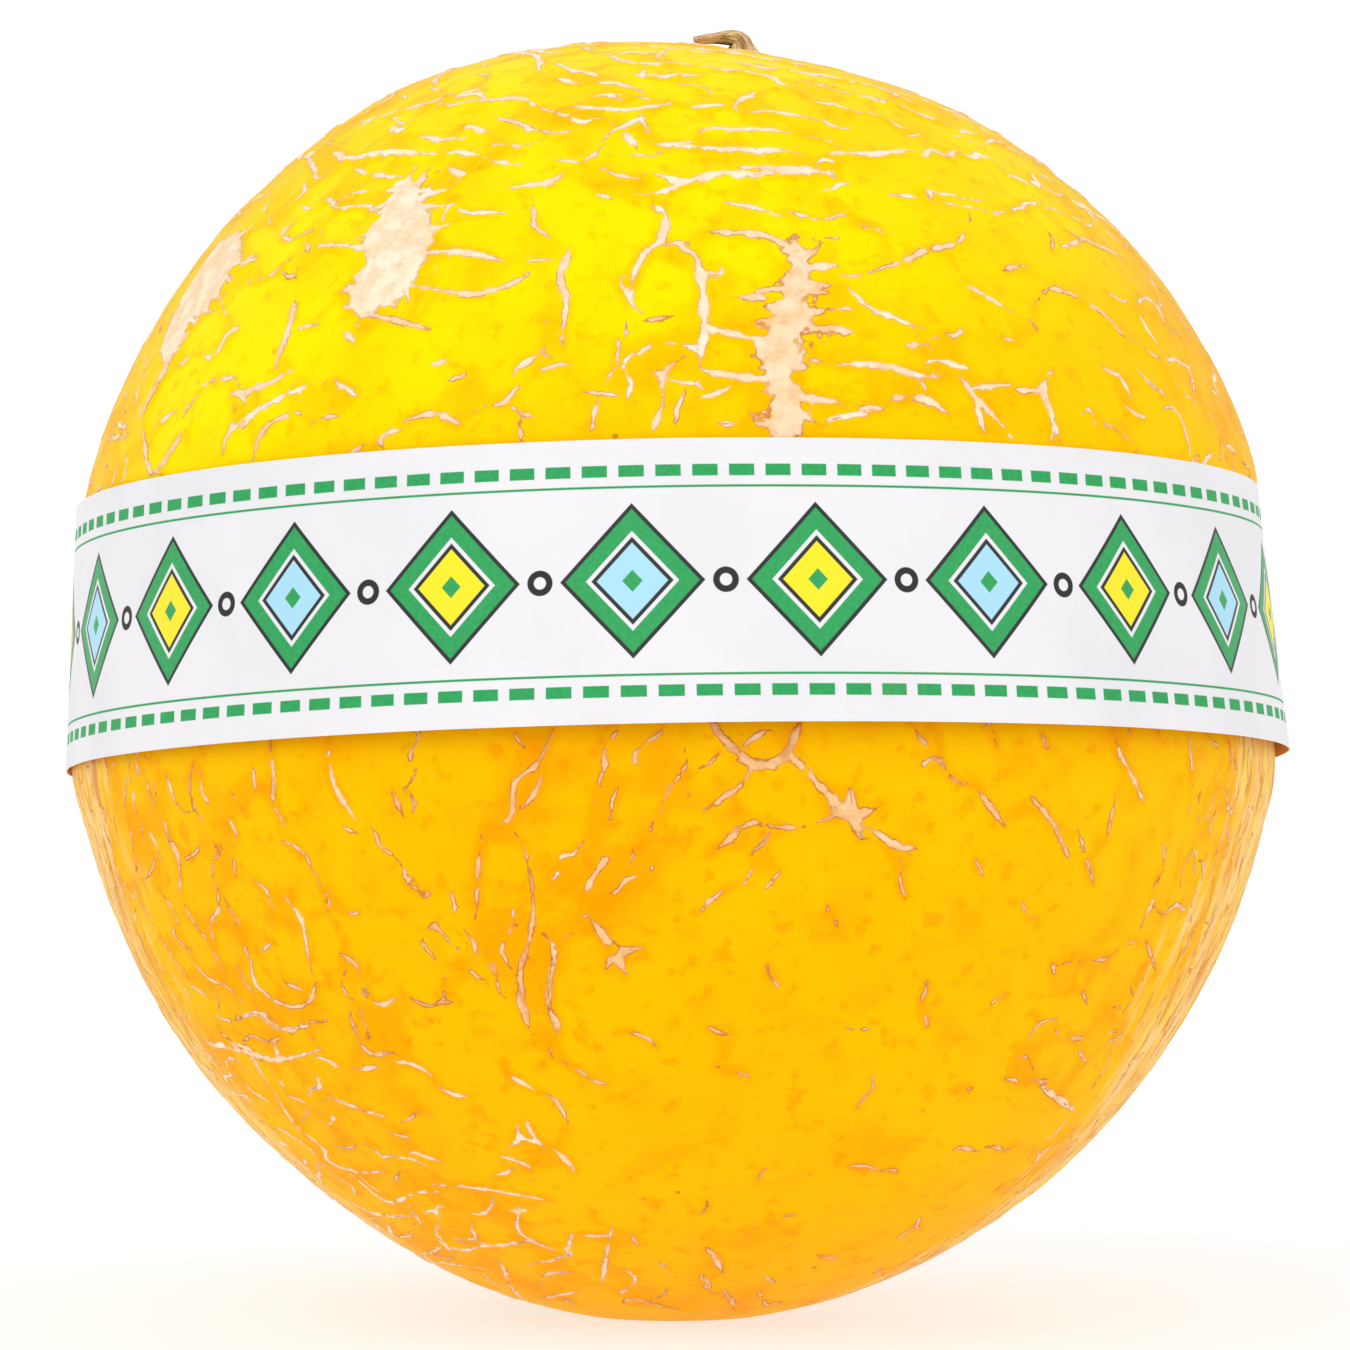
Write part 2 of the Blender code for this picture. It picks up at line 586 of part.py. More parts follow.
def make_stem():
    """A withered tube, flared where it leaves the fruit, bent over to the left and broken off."""
    root = rind_point(STALK[None], np.zeros(1))[0]
    root[2] += CENTRE_HEIGHT
    bend = np.array(STALK_BEND)
    run = np.linspace(0, len(bend) - 1, STALK_RINGS)
    line = np.stack([np.interp(run, np.arange(len(bend)), bend[:, axis]) for axis in range(3)], axis=1)
    line[1:-1] = (line[:-2] + 2 * line[1:-1] + line[2:]) / 4
    line[:, 2] += STALK_GAP
    ahead = unit(np.gradient(line, axis=0))
    corners = []
    for number, (place, forward) in enumerate(zip(line, ahead)):
        along = number / (STALK_RINGS - 1)
        side = np.array([0.0, 1.0, 0.0])
        upper = unit(np.cross(forward, side))
        flare = 1.0 + STALK_FLARE * max(0.0, 1 - along / STALK_FLARE_SHARE) ** 2
        wide = STALK_HALF_WIDTH * flare * (1 - STALK_TAPER * along)
        foot = 1 + STALK_FOOT * max(0.0, 1 - along / STALK_FOOT_SHARE)
        deep = STALK_HALF_DEPTH * foot * (1 - STALK_DEPTH_TAPER * along)
        for corner in range(STALK_SIDES):
            angle = 2 * math.pi * corner / STALK_SIDES
            rib = 1 + STALK_RIB_DEPTH * math.cos(STALK_RIBS * angle + STALK_TWIST * along)
            across = side * math.cos(angle) * wide * rib
            corners.append(root + place + across + upper * math.sin(angle) * deep * rib)
    faces = []
    for ring in range(STALK_RINGS - 1):
        for corner in range(STALK_SIDES):
            beside = (corner + 1) % STALK_SIDES
            low = ring * STALK_SIDES
            high = low + STALK_SIDES
            faces.append([low + corner, low + beside, high + beside, high + corner])
    faces.append(list(range(STALK_SIDES))[::-1])
    top = (STALK_RINGS - 1) * STALK_SIDES
    faces.append(list(range(top, top + STALK_SIDES)))
    return add_object("stem", corners, faces, finish("dried stalk", (0.36, 0.27, 0.13), 0.85))


def band_axes():
    """The band's own frame: two directions across it, and the one along its axis."""
    back = math.radians(BAND_TIP_BACK)
    left = math.radians(BAND_TIP_LEFT)
    up = unit(np.array([-math.sin(left), math.sin(back), math.cos(back)]))
    ahead = unit(np.cross(up, np.array([1.0, 0.0, 0.0])))
    return np.cross(ahead, up), ahead, up


def rind_reach(turn, height):
    """How far the rind lies from the band's axis, at a turn round it and a height along it."""
    right, ahead, up = band_axes()
    out = right * math.sin(turn) - ahead * math.cos(turn)
    reach = HALF_WIDTH
    for _ in range(8):
        point = out * reach + up * (BAND_MIDDLE + height)
        distance = np.linalg.norm(point)
        reach *= 1 + (float(rind_radius(point / distance)) - distance) / distance
    return reach


def band_flare(turn):
    """How fast the band widens downwards: most on the right."""
    return BAND_FLARE + BAND_FLARE_RIGHT * math.sin(turn)


def band_inside(turn):
    """The band's inner radius at its mid height: its straight side just clears the net."""
    heights = np.linspace(-BAND_WIDTH / 2, BAND_WIDTH / 2, 9)
    widest = max(rind_reach(turn, height) + band_flare(turn) * height for height in heights)
    return widest + NET_HEIGHT + BAND_GAP


def make_band():
    """A strip of paper round the waist. Its straight sides flare downwards, and its ends lap at the back."""
    right, ahead, up = band_axes()
    lap_start = math.radians(LAP_TURN)
    lap = LAP_LENGTH / HALF_WIDTH
    ramp = LAP_RAMP / HALF_WIDTH
    turns = [lap_start + 2 * math.pi * number / BAND_SIDES for number in range(BAND_SIDES)]
    sections = [(turn, 0.0) for turn in turns]
    sections = [(turn, extra) for turn, extra in sections if not 0 <= turn - lap_start <= lap + ramp]
    sections += [(lap_start, 0.0), (lap_start + LAP_STEP_TURN, 1.0)]
    sections += [(lap_start + lap * part, 1.0) for part in (0.25, 0.5, 0.75, 1.0)]
    sections += [(lap_start + lap + ramp, 0.0)]
    sections.sort()
    inside = {turn: band_inside(turn) for turn, _ in sections}
    corners = []
    for turn, extra in sections:
        out = right * math.sin(turn) - ahead * math.cos(turn)
        for height in (-BAND_WIDTH / 2, BAND_WIDTH / 2):
            for thickness in (0.0, PAPER * (1 + extra)):
                radius = inside[turn] - band_flare(turn) * height + thickness
                corners.append(out * radius + up * (BAND_MIDDLE + height) + (0, 0, CENTRE_HEIGHT))
    faces = []
    count = len(sections)
    for number in range(count):
        here = 4 * number
        there = 4 * ((number + 1) % count)
        for first, second in ((0, 2), (2, 3), (3, 1), (1, 0)):
            faces.append([here + first, here + second, there + second, there + first])
    return add_object("band", corners, faces, finish("white paper", (0.93, 0.93, 0.94), 0.6))


for leftover in list(bpy.data.objects):
    bpy.data.objects.remove(leftover, do_unlink=True)
make_fruit()
make_stem()
make_band()
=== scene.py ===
import math
import random

import bpy
import numpy as np
from mathutils.geometry import delaunay_2d_cdt
from mathutils.kdtree import KDTree
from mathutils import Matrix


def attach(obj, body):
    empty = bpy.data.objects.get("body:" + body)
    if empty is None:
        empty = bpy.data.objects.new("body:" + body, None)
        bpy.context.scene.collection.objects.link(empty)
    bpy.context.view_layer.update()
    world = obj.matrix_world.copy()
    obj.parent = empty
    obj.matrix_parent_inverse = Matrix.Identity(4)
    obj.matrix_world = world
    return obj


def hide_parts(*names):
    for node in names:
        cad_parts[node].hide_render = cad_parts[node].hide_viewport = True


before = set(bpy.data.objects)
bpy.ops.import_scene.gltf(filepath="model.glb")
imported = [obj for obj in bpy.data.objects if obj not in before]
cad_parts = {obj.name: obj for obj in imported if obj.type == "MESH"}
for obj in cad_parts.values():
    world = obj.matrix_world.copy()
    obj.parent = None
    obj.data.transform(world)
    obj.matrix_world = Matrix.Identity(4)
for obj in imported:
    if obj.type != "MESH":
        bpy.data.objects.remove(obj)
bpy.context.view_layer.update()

# Fruit
# A ripe galia melon, grown as one piece: a thin waxy yellow rind, with a corky net where the young skin
# split and healed. It rests on a small flat spot round its blossom scar. Places on it are given by their
# turn, from the front towards +X, and their rise above the level of its centre, in degrees.

HALF_WIDTH = 0.0684
HALF_HEIGHT = 0.0734
# Where the fruit is fuller than an ellipsoid, from the crown down: the angle from its top, the reach and
# the sharpness of each swell, and its height
SWELLS = [
    (26.0, 9.0, 2, 0.00033),
    (48.0, 30.0, 4, 0.00170),
    (60.0, 20.0, 4, 0.00050),
    (72.0, 9.0, 2, 0.00030),
    (98.5, 4.5, 2, 0.00075),
    (104.0, 9.0, 2, 0.00035),
    (130.0, 35.0, 4, 0.00030),
]
FLANK_DENT = 0.0008
FLANK_ANGLE = 147.0
FLANK_REACH = 18.0
FLANK_SIDE = 0.9
BELLY = 0.0001
LEAN = 0.0050
LEAN_REACH = 27.0
LUMP_HEIGHT = 0.00030
REST_RADIUS = 0.0110
REST_CORNERS = 64
REST_FADE = 4.0

BAND_WIDTH = 0.0300
BAND_MIDDLE = 0.0056
BAND_TIP_BACK = 4.3
BAND_TIP_LEFT = 1.0
BAND_FLARE = 0.073
BAND_FLARE_RIGHT = 0.024
BAND_PULL_RIGHT = 0.0008
BAND_CLEAR = 0.00026
SKIN_CLEAR = 0.0001
EDGE_SLOPE = 0.5
# How closely the band's fit to the rind is worked out
REACH_ROUNDS = 8
BAND_LEVELS = 7
BAND_TURNS = 181

STALK_TURN = 112.0
STALK_RISE = 83.0
STALK_CLEAR = 7.0
NET_SEED = 41
NET_HEIGHT = 0.00034
NET_SLOPE = 0.00030
PATCH_HALF_WIDTH = 0.0015
PATCH_ROUGHNESS = 0.00010
CRUMB_WAVES = 170.0
TWIG_SPACING = 0.0019
TWIG_LENGTHS = (0.0012, 0.0030)
TWIG_HALF_WIDTHS = (0.0006, 0.00045, 0.0002)
TWIG_SLANT = 0.8
WALK_STEP = 0.0010
WALK_SPREAD = 7
WAVE_SWING = 26.0
WAVE_LENGTHS = (0.0035, 0.0070)
VEIN_SPACING = 0.0089
VEIN_TRIES = 14000
VEIN_LEVELS = (-0.975, 0.992)
VEIN_CLEARANCE = 0.34
CLOSEST_VEINS = 0.0016
VEIN_LENGTHS = (0.0065, 0.0165, 0.0105)
VEIN_HALF_WIDTHS = (0.00042, 0.00062)
TIP_SHARE = 0.35
TAPER_POWER = 0.45
FORK_SHARE = 0.30
FORK_ANGLES = (38.0, 75.0)
FORK_LENGTHS = (0.30, 0.55)
FORK_TAPER = (0.95, 0.35)

# The main veins and corky patches: half width in millimetres, then turn and rise of each point on the way
MAIN_VEINS = [
    # corky patch high on the left, with its arms
    (3.4, [(-36.5, 48), (-35, 45), (-33, 41.5), (-32, 39), (-33, 36), (-34, 33.5)]),
    (0.6, [(-34.5, 45.5), (-34.5, 49.5)]),
    (0.5, [(-32, 43.5), (-32.5, 46), (-29.5, 47)]),
    (0.6, [(-30.5, 39.5), (-24, 39.5), (-19, 38.5)]),
    (0.6, [(-35, 40), (-44.5, 41)]),
    (0.6, [(-33, 37), (-38, 35.5)]),
    # long patch near the left edge
    (3.6, [(-68.5, 42), (-65, 39), (-65, 37), (-65.5, 35), (-65, 32.5), (-64.5, 31)]),
    (1.2, [(-64.5, 31), (-63.5, 29), (-64, 27), (-64.5, 25)]),
    (0.6, [(-63.5, 39), (-55.5, 40)]),
    (0.6, [(-63, 23), (-58, 19), (-53.5, 23.5)]),
    # upright patch right of the middle, with its arms
    (2.3, [(13.5, 40), (13.5, 37), (12.5, 35), (11.5, 31.5), (10, 28.5), (10.5, 25.5), (10, 21.5)]),
    (0.6, [(13.5, 37.5), (17.5, 38)]),
    (0.7, [(11.5, 30.5), (15, 31.5), (18.5, 31)]),
    (0.6, [(10.5, 25), (15.5, 24.5)]),
    (0.6, [(9.5, 26.5), (4.5, 27), (2.5, 27.5)]),
    (0.5, [(11.5, 34), (8.5, 34.5), (6, 34.5)]),
    (0.6, [(3.5, 41.5), (10.5, 41), (13.5, 39)]),
    # veins of the upper front
    (0.7, [(-2.5, 44.5), (-1, 43.5), (-1.5, 40.5), (-3.5, 38.5), (-4.5, 35)]),
    (0.7, [(0.5, 40), (2.5, 38.5), (3, 34.5), (3, 31.5), (2.5, 28)]),
    (0.6, [(3, 31.5), (7.5, 30.5)]),
    (0.6, [(-11.5, 39.5), (-12, 36.5), (-11, 34.5), (-11, 32)]),
    (0.5, [(-25, 35.5), (-21, 35), (-17, 36), (-15, 37.5)]),
    (0.5, [(-20.5, 47), (-16, 47.5), (-14, 49)]),
    (0.6, [(-57.5, 53), (-52.5, 52), (-44.5, 52.5), (-38, 52)]),
    (0.5, [(-31.5, 33), (-29, 32.5), (-25, 31.5)]),
    (0.6, [(-44, 35), (-43, 32), (-43, 29)]),
    (0.5, [(-48, 26), (-44, 26.5), (-40.5, 28)]),
    (0.6, [(-46.5, 22.5), (-43, 24.5), (-37.5, 26.5)]),
    (0.5, [(-42.5, 19.5), (-42, 22.5), (-38.5, 24)]),
    (0.5, [(-25.5, 23), (-22.5, 23.5), (-20, 22.5)]),
    (0.6, [(16, 28), (20, 28), (25, 27)]),
    (0.6, [(21, 25), (24, 25), (26.5, 23.5)]),
    (0.5, [(28.5, 27), (29.5, 25.5), (30, 22)]),
    (0.5, [(29.5, 25.5), (33, 21.5)]),
    (0.5, [(29.5, 26), (34, 26.5)]),
    (0.7, [(40, 28), (38, 26), (38.5, 21.5)]),
    (0.5, [(38, 26), (34.5, 26)]),
    (0.5, [(41.5, 35), (45.5, 36.5), (51.5, 34.5), (54, 32)]),
    (0.5, [(18.5, 35.5), (20.5, 33.5), (24.5, 32)]),
    (0.5, [(22, 37.5), (25.5, 38.5), (29.5, 40), (34, 41), (38, 44)]),
    (0.5, [(55.5, 43.5), (59, 42.5), (66, 41)]),
    (0.6, [(-2.5, 48.5), (1.5, 47.5), (5.5, 48.5), (10, 48.5), (15, 49), (20, 49)]),
    (0.5, [(-2, 52.5), (6, 52), (14.5, 52)]),
    (0.5, [(23, 52), (28.5, 52), (36, 53)]),
    # branching patch under the band, with its star
    (0.9, [(3, -3), (5, -5.5), (7, -7), (9.5, -6.5), (11, -3.5)]),
    (0.8, [(10, -6), (13, -9), (14.5, -10.5), (16, -11.5)]),
    (1.0, [(15.5, -9), (16, -11.5), (17, -13.5)]),
    (0.9, [(14, -11), (16, -11.5), (18.5, -10.5)]),
    (0.5, [(14.5, -11.5), (10.5, -12.5), (7, -12), (5, -13.5), (3, -15)]),
    (0.5, [(17.5, -12.5), (20, -14), (22.5, -14.5)]),
    (0.5, [(7, -7), (5.5, -9), (2.5, -11)]),
    # veins and cracks of the lower front
    (0.5, [(-10.5, -4), (-12, -7), (-14, -8.5), (-14.5, -11.5), (-17, -13), (-18, -16.5), (-18.5, -20)]),
    (0.5, [(-13.5, -14), (-13, -17), (-13, -20), (-14, -23.5), (-15, -26), (-15, -31)]),
    (0.5, [(-11.5, -23.5), (-12, -26), (-12.5, -29), (-12, -32)]),
    (0.5, [(-5, -14), (-7, -16.5), (-8.5, -19)]),
    (0.8, [(-7.5, -21), (-6.5, -22.5), (-5.5, -24), (-4.5, -26)]),
    (0.8, [(-6.5, -25.5), (-5.5, -24), (-3, -23.5)]),
    (0.5, [(-38.5, -5), (-38, -8.5), (-38.5, -10.5), (-37.5, -12.5)]),
    (0.5, [(-32, -5), (-31.5, -8.5), (-29.5, -12)]),
    (0.5, [(-39.5, -19), (-38, -21.5), (-38.5, -25)]),
    (0.6, [(27.5, -9), (31, -12.5)]),
    (0.6, [(33.5, -10), (36.5, -12.5), (39, -15.5)]),
    (0.5, [(39.5, -13), (43, -18)]),
    (0.6, [(43, -4), (44, -6.5), (47.5, -10.5)]),
    (0.5, [(43.5, -10), (43.5, -13.5)]),
    (0.5, [(54.5, -5), (55.5, -11.5)]),
    (0.5, [(54.5, -24), (59.5, -27.5)]),
    (0.5, [(41, -26), (43.5, -25.5), (48.5, -25.5)]),
    (0.7, [(46.5, -38.5), (57.5, -42)]),
    # wavy net low on the left
    (0.5, [(-47.5, -22), (-47, -25.5), (-47.5, -28), (-44, -30), (-40.5, -29.5), (-38.5, -27.5)]),
    (0.5, [(-59, -31), (-55.5, -32), (-49.5, -31), (-47, -32.5), (-42, -32)]),
    (0.5, [(-65, -34.5), (-54.5, -35.5), (-50.5, -36), (-41.5, -34.5)]),
    (0.5, [(-35.5, -31), (-35, -34.5), (-31.5, -34.5)]),
    (0.6, [(-55, -40.5), (-56, -43.5), (-54, -47), (-56, -49), (-50, -50), (-44, -49.5)]),
    (0.6, [(-53, -51), (-50.5, -54.5), (-41.5, -52.5), (-36.5, -52)]),
    (0.5, [(-36.5, -51), (-31, -51), (-25, -51.5), (-18, -52.5)]),
    (0.5, [(-44, -40), (-41, -41), (-37, -42)]),
    (0.6, [(-24, -54), (-26.5, -58), (-22, -61)]),
    (0.6, [(-10, -56.5), (-12.5, -61.5), (-16.5, -67)]),
    (0.6, [(-15, -72.5), (-10.5, -71), (1, -74.5)]),
]


def spot(turn, rise):
    """The unit direction of a place on the fruit, from its centre."""
    across = math.radians(turn)
    up = math.radians(rise)
    return np.array([math.sin(across) * math.cos(up), -math.cos(across) * math.cos(up), math.sin(up)])


def unit(vectors):
    """Vectors scaled to length one."""
    return vectors / np.linalg.norm(vectors, axis=-1, keepdims=True)


def turn_and_rise(direction):
    """The turn and rise of a unit direction."""
    turn = math.degrees(math.atan2(direction[0], -direction[1]))
    return turn, math.degrees(math.asin(max(-1.0, min(1.0, direction[2]))))


def swell(angle, middle, reach, power):
    """A smooth hump: one at its middle, and near nothing beyond its reach."""
    return np.exp(-(np.abs(angle - middle) / reach) ** power)


def rind_radius(directions):
    """Distance from the centre to the bare rind: an ellipsoid with full shoulders and a slight lean."""
    x, y, z = np.moveaxis(directions, -1, 0)
    level = np.hypot(x, y)
    angle = np.degrees(np.arctan2(level, z))
    radius = 1.0 / np.sqrt((level / HALF_WIDTH) ** 2 + (z / HALF_HEIGHT) ** 2)
    for middle, reach, power, height in SWELLS:
        radius = radius + height * swell(angle, middle, reach, power)
    dent = FLANK_DENT * swell(angle, FLANK_ANGLE, FLANK_REACH, 2)
    radius = radius - dent * (1 - FLANK_SIDE * x)
    lean = LEAN * swell(angle, 0.0, LEAN_REACH, 2)
    radius = radius - (lean + BELLY) * x
    lumps = np.sin(3.1 * x + 4.3 * z + 0.4) * np.sin(4.7 * y - 2.9 * z + 1.1) * np.sin(2.3 * x + 3.7 * y)
    return radius + LUMP_HEIGHT * lumps * level


REST_ANGLE = math.atan2(REST_RADIUS, HALF_HEIGHT)
CENTRE_HEIGHT = float(rind_radius(spot(0.0, math.degrees(REST_ANGLE) - 90.0))) * math.cos(REST_ANGLE)
MEAN_RADIUS = (HALF_WIDTH + HALF_HEIGHT) / 2
STALK = spot(STALK_TURN, STALK_RISE)


def near_stalk(direction):
    """Whether a direction is under the stalk's foot, where the rind stays bare."""
    return float(np.dot(direction, STALK)) > math.cos(math.radians(STALK_CLEAR))


def compass(direction):
    """East and north along the rind, where north is towards the stalk."""
    east = unit(np.cross(STALK, direction))
    return east, np.cross(direction, east)


def smooth_path(corners, step):
    """Directions a step apart on a smooth curve through the corners."""
    places = [spot(turn, rise) for turn, rise in corners]
    places = [2 * places[0] - places[1]] + places + [2 * places[-1] - places[-2]]
    way = []
    for before, start, end, after in zip(places, places[1:], places[2:], places[3:]):
        count = max(1, round(np.linalg.norm(end - start) * MEAN_RADIUS / step))
        for part in np.arange(count) / count:
            tension = 2 * start + (end - before) * part
            bend = (2 * before - 5 * start + 4 * end - after) * part**2
            twist = (3 * start - before - 3 * end + after) * part**3
            way.append((tension + bend + twist) / 2)
    way.append(places[-2])
    return unit(np.array(way))


def tapered(count, half_width):
    """Half widths along a vein, which thins out towards both ends."""
    along = np.linspace(0.0, 1.0, count)
    return half_width * (TIP_SHARE + (1 - TIP_SHARE) * np.sin(math.pi * along) ** TAPER_POWER)


def net_spacing(turn, rise):
    """How far apart the veins lie, against their mean: closest on top and at the sides, wide on the cheek."""
    if rise > 48:
        return 0.78
    if abs(turn) < 100 and rise < -12 and 0 < turn < 42:
        return 2.3 if rise > -62 else 1.3
    if rise < -30 and -90 < turn < -25:
        return 0.82
    if 52 < turn < 85 and rise < 15:
        return 0.80
    if -90 < turn < -50:
        return 0.85
    return 1.0


def net_heading(turn, rise, draw):
    """The way that a vein runs, in degrees from east towards north."""
    if rise > 46 + draw.uniform(-4, 4):
        return draw.gauss(0, 14)
    if abs(turn) > 95:
        return draw.gauss(90, 40)
    if rise > 2:
        return draw.gauss(90, 28) if draw.random() < 0.38 else draw.gauss(-8, 26)
    if 55 < turn:
        return draw.gauss(92, 9)
    if rise > -32 + draw.uniform(-5, 5):
        if turn < -18:
            return draw.gauss(108, 17)
        return draw.gauss(72, 16) if turn < 14 else draw.gauss(116, 18)
    if turn < 0:
        return draw.gauss(168, 24)
    return draw.gauss(90, 22) if draw.random() < 0.35 else draw.gauss(5, 25)


def walk(start, heading, length, taken, draw, closest):
    """A wavy way from start. It ends early where it comes close to another vein."""
    place = start
    way = [place]
    wave = draw.uniform(0, 2 * math.pi)
    wave_length = draw.uniform(*WAVE_LENGTHS)
    drift = draw.gauss(0, 1.0)
    steps = max(3, round(length / WALK_STEP))
    for number in range(steps):
        east, north = compass(place)
        swing = WAVE_SWING * math.sin(wave + 2 * math.pi * number * WALK_STEP / wave_length)
        angle = math.radians(heading + drift * number * 1.5 + swing + draw.gauss(0, WALK_SPREAD))
        ahead = (math.cos(angle) * east + math.sin(angle) * north) * WALK_STEP / MEAN_RADIUS
        place = unit(place + ahead)
        near = np.min(np.linalg.norm(taken - place, axis=1)) * MEAN_RADIUS
        if number > 1 and (near < closest or near_stalk(place)):
            break
        way.append(place)
    return np.array(way)


def frayed_edge(way, half_width, draw):
    """Short twigs that fray both edges of a corky patch."""
    ahead = unit(np.gradient(way, axis=0))
    twigs = []
    for number in range(1, len(way) - 1, round(TWIG_SPACING / WALK_STEP)):
        for sign in (-1, 1):
            side = unit(np.cross(way[number], ahead[number])) * sign
            slant = unit(side + ahead[number] * draw.uniform(-TWIG_SLANT, TWIG_SLANT))
            root = unit(way[number] + side * (half_width[number] - TWIG_HALF_WIDTHS[0]) / MEAN_RADIUS)
            tip = unit(root + slant * draw.uniform(*TWIG_LENGTHS) / MEAN_RADIUS)
            twigs.append((np.array([root, unit(root + tip), tip]), np.array(TWIG_HALF_WIDTHS)))
    return twigs


def main_veins():
    """The listed veins and patches, and the frayed edges of the patches."""
    draw = random.Random(NET_SEED)
    veins = []
    for half_width, corners in MAIN_VEINS:
        way = smooth_path(corners, WALK_STEP)
        wide = tapered(len(way), half_width / 1000)
        veins.append((way, wide))
        if half_width / 1000 > PATCH_HALF_WIDTH:
            veins += frayed_edge(way, wide, draw)
    return veins


def grown_veins(veins, seed, spacing, tries, lengths, half_widths, closest, crowding):
    """Veins drawn at random between those given, in the density and the headings of the fruit's net."""
    draw = random.Random(seed)
    taken = np.concatenate([way for way, _ in veins])
    middles = np.zeros((len(veins) + tries, 3))
    count = len(veins)
    middles[:count] = [way[len(way) // 2] for way, _ in veins]
    grown = []
    for _ in range(tries):
        up = draw.uniform(*VEIN_LEVELS)
        across = draw.uniform(-math.pi, math.pi)
        level = math.sqrt(1 - up * up)
        start = np.array([level * math.sin(across), -level * math.cos(across), up])
        turn, rise = turn_and_rise(start)
        apart = spacing * crowding(turn, rise) / MEAN_RADIUS
        if np.max(middles[:count] @ start) > 1 - apart * apart / 2:
            continue
        if np.max(taken @ start) > 1 - (apart * VEIN_CLEARANCE) ** 2 / 2:
            continue
        if near_stalk(start):
            continue
        heading = net_heading(turn, rise, draw)
        length = draw.triangular(*lengths)
        east, north = compass(start)
        back = math.radians(heading)
        step_back = (math.cos(back) * east + math.sin(back) * north) * length / 2 / MEAN_RADIUS
        way = walk(unit(start - step_back), heading, length, taken, draw, closest)
        if len(way) < 4:
            continue
        half_width = draw.uniform(*half_widths)
        new = [(way, tapered(len(way), half_width))]
        if draw.random() < FORK_SHARE and len(way) > 5:
            fork = way[draw.randrange(2, len(way) - 2)]
            side = heading + draw.choice([-1, 1]) * draw.uniform(*FORK_ANGLES)
            twig = walk(fork, side, length * draw.uniform(*FORK_LENGTHS), taken, draw, closest)
            new.append((twig, half_width * np.linspace(*FORK_TAPER, len(twig))))
        middles[count] = start
        count += 1
        for vein in new:
            taken = np.concatenate([taken, vein[0]])
            grown.append(vein)
    return grown


def crumb_pattern(directions):
    """An uneven pattern between -1 and 1, about 2 mm from crumb to crumb."""
    x, y, z = np.moveaxis(directions * CRUMB_WAVES, -1, 0)
    return np.sin(x + 2 * np.sin(0.7 * z)) * np.sin(1.1 * y + np.sin(0.9 * x)) * np.sin(1.3 * z + 0.5 * y)


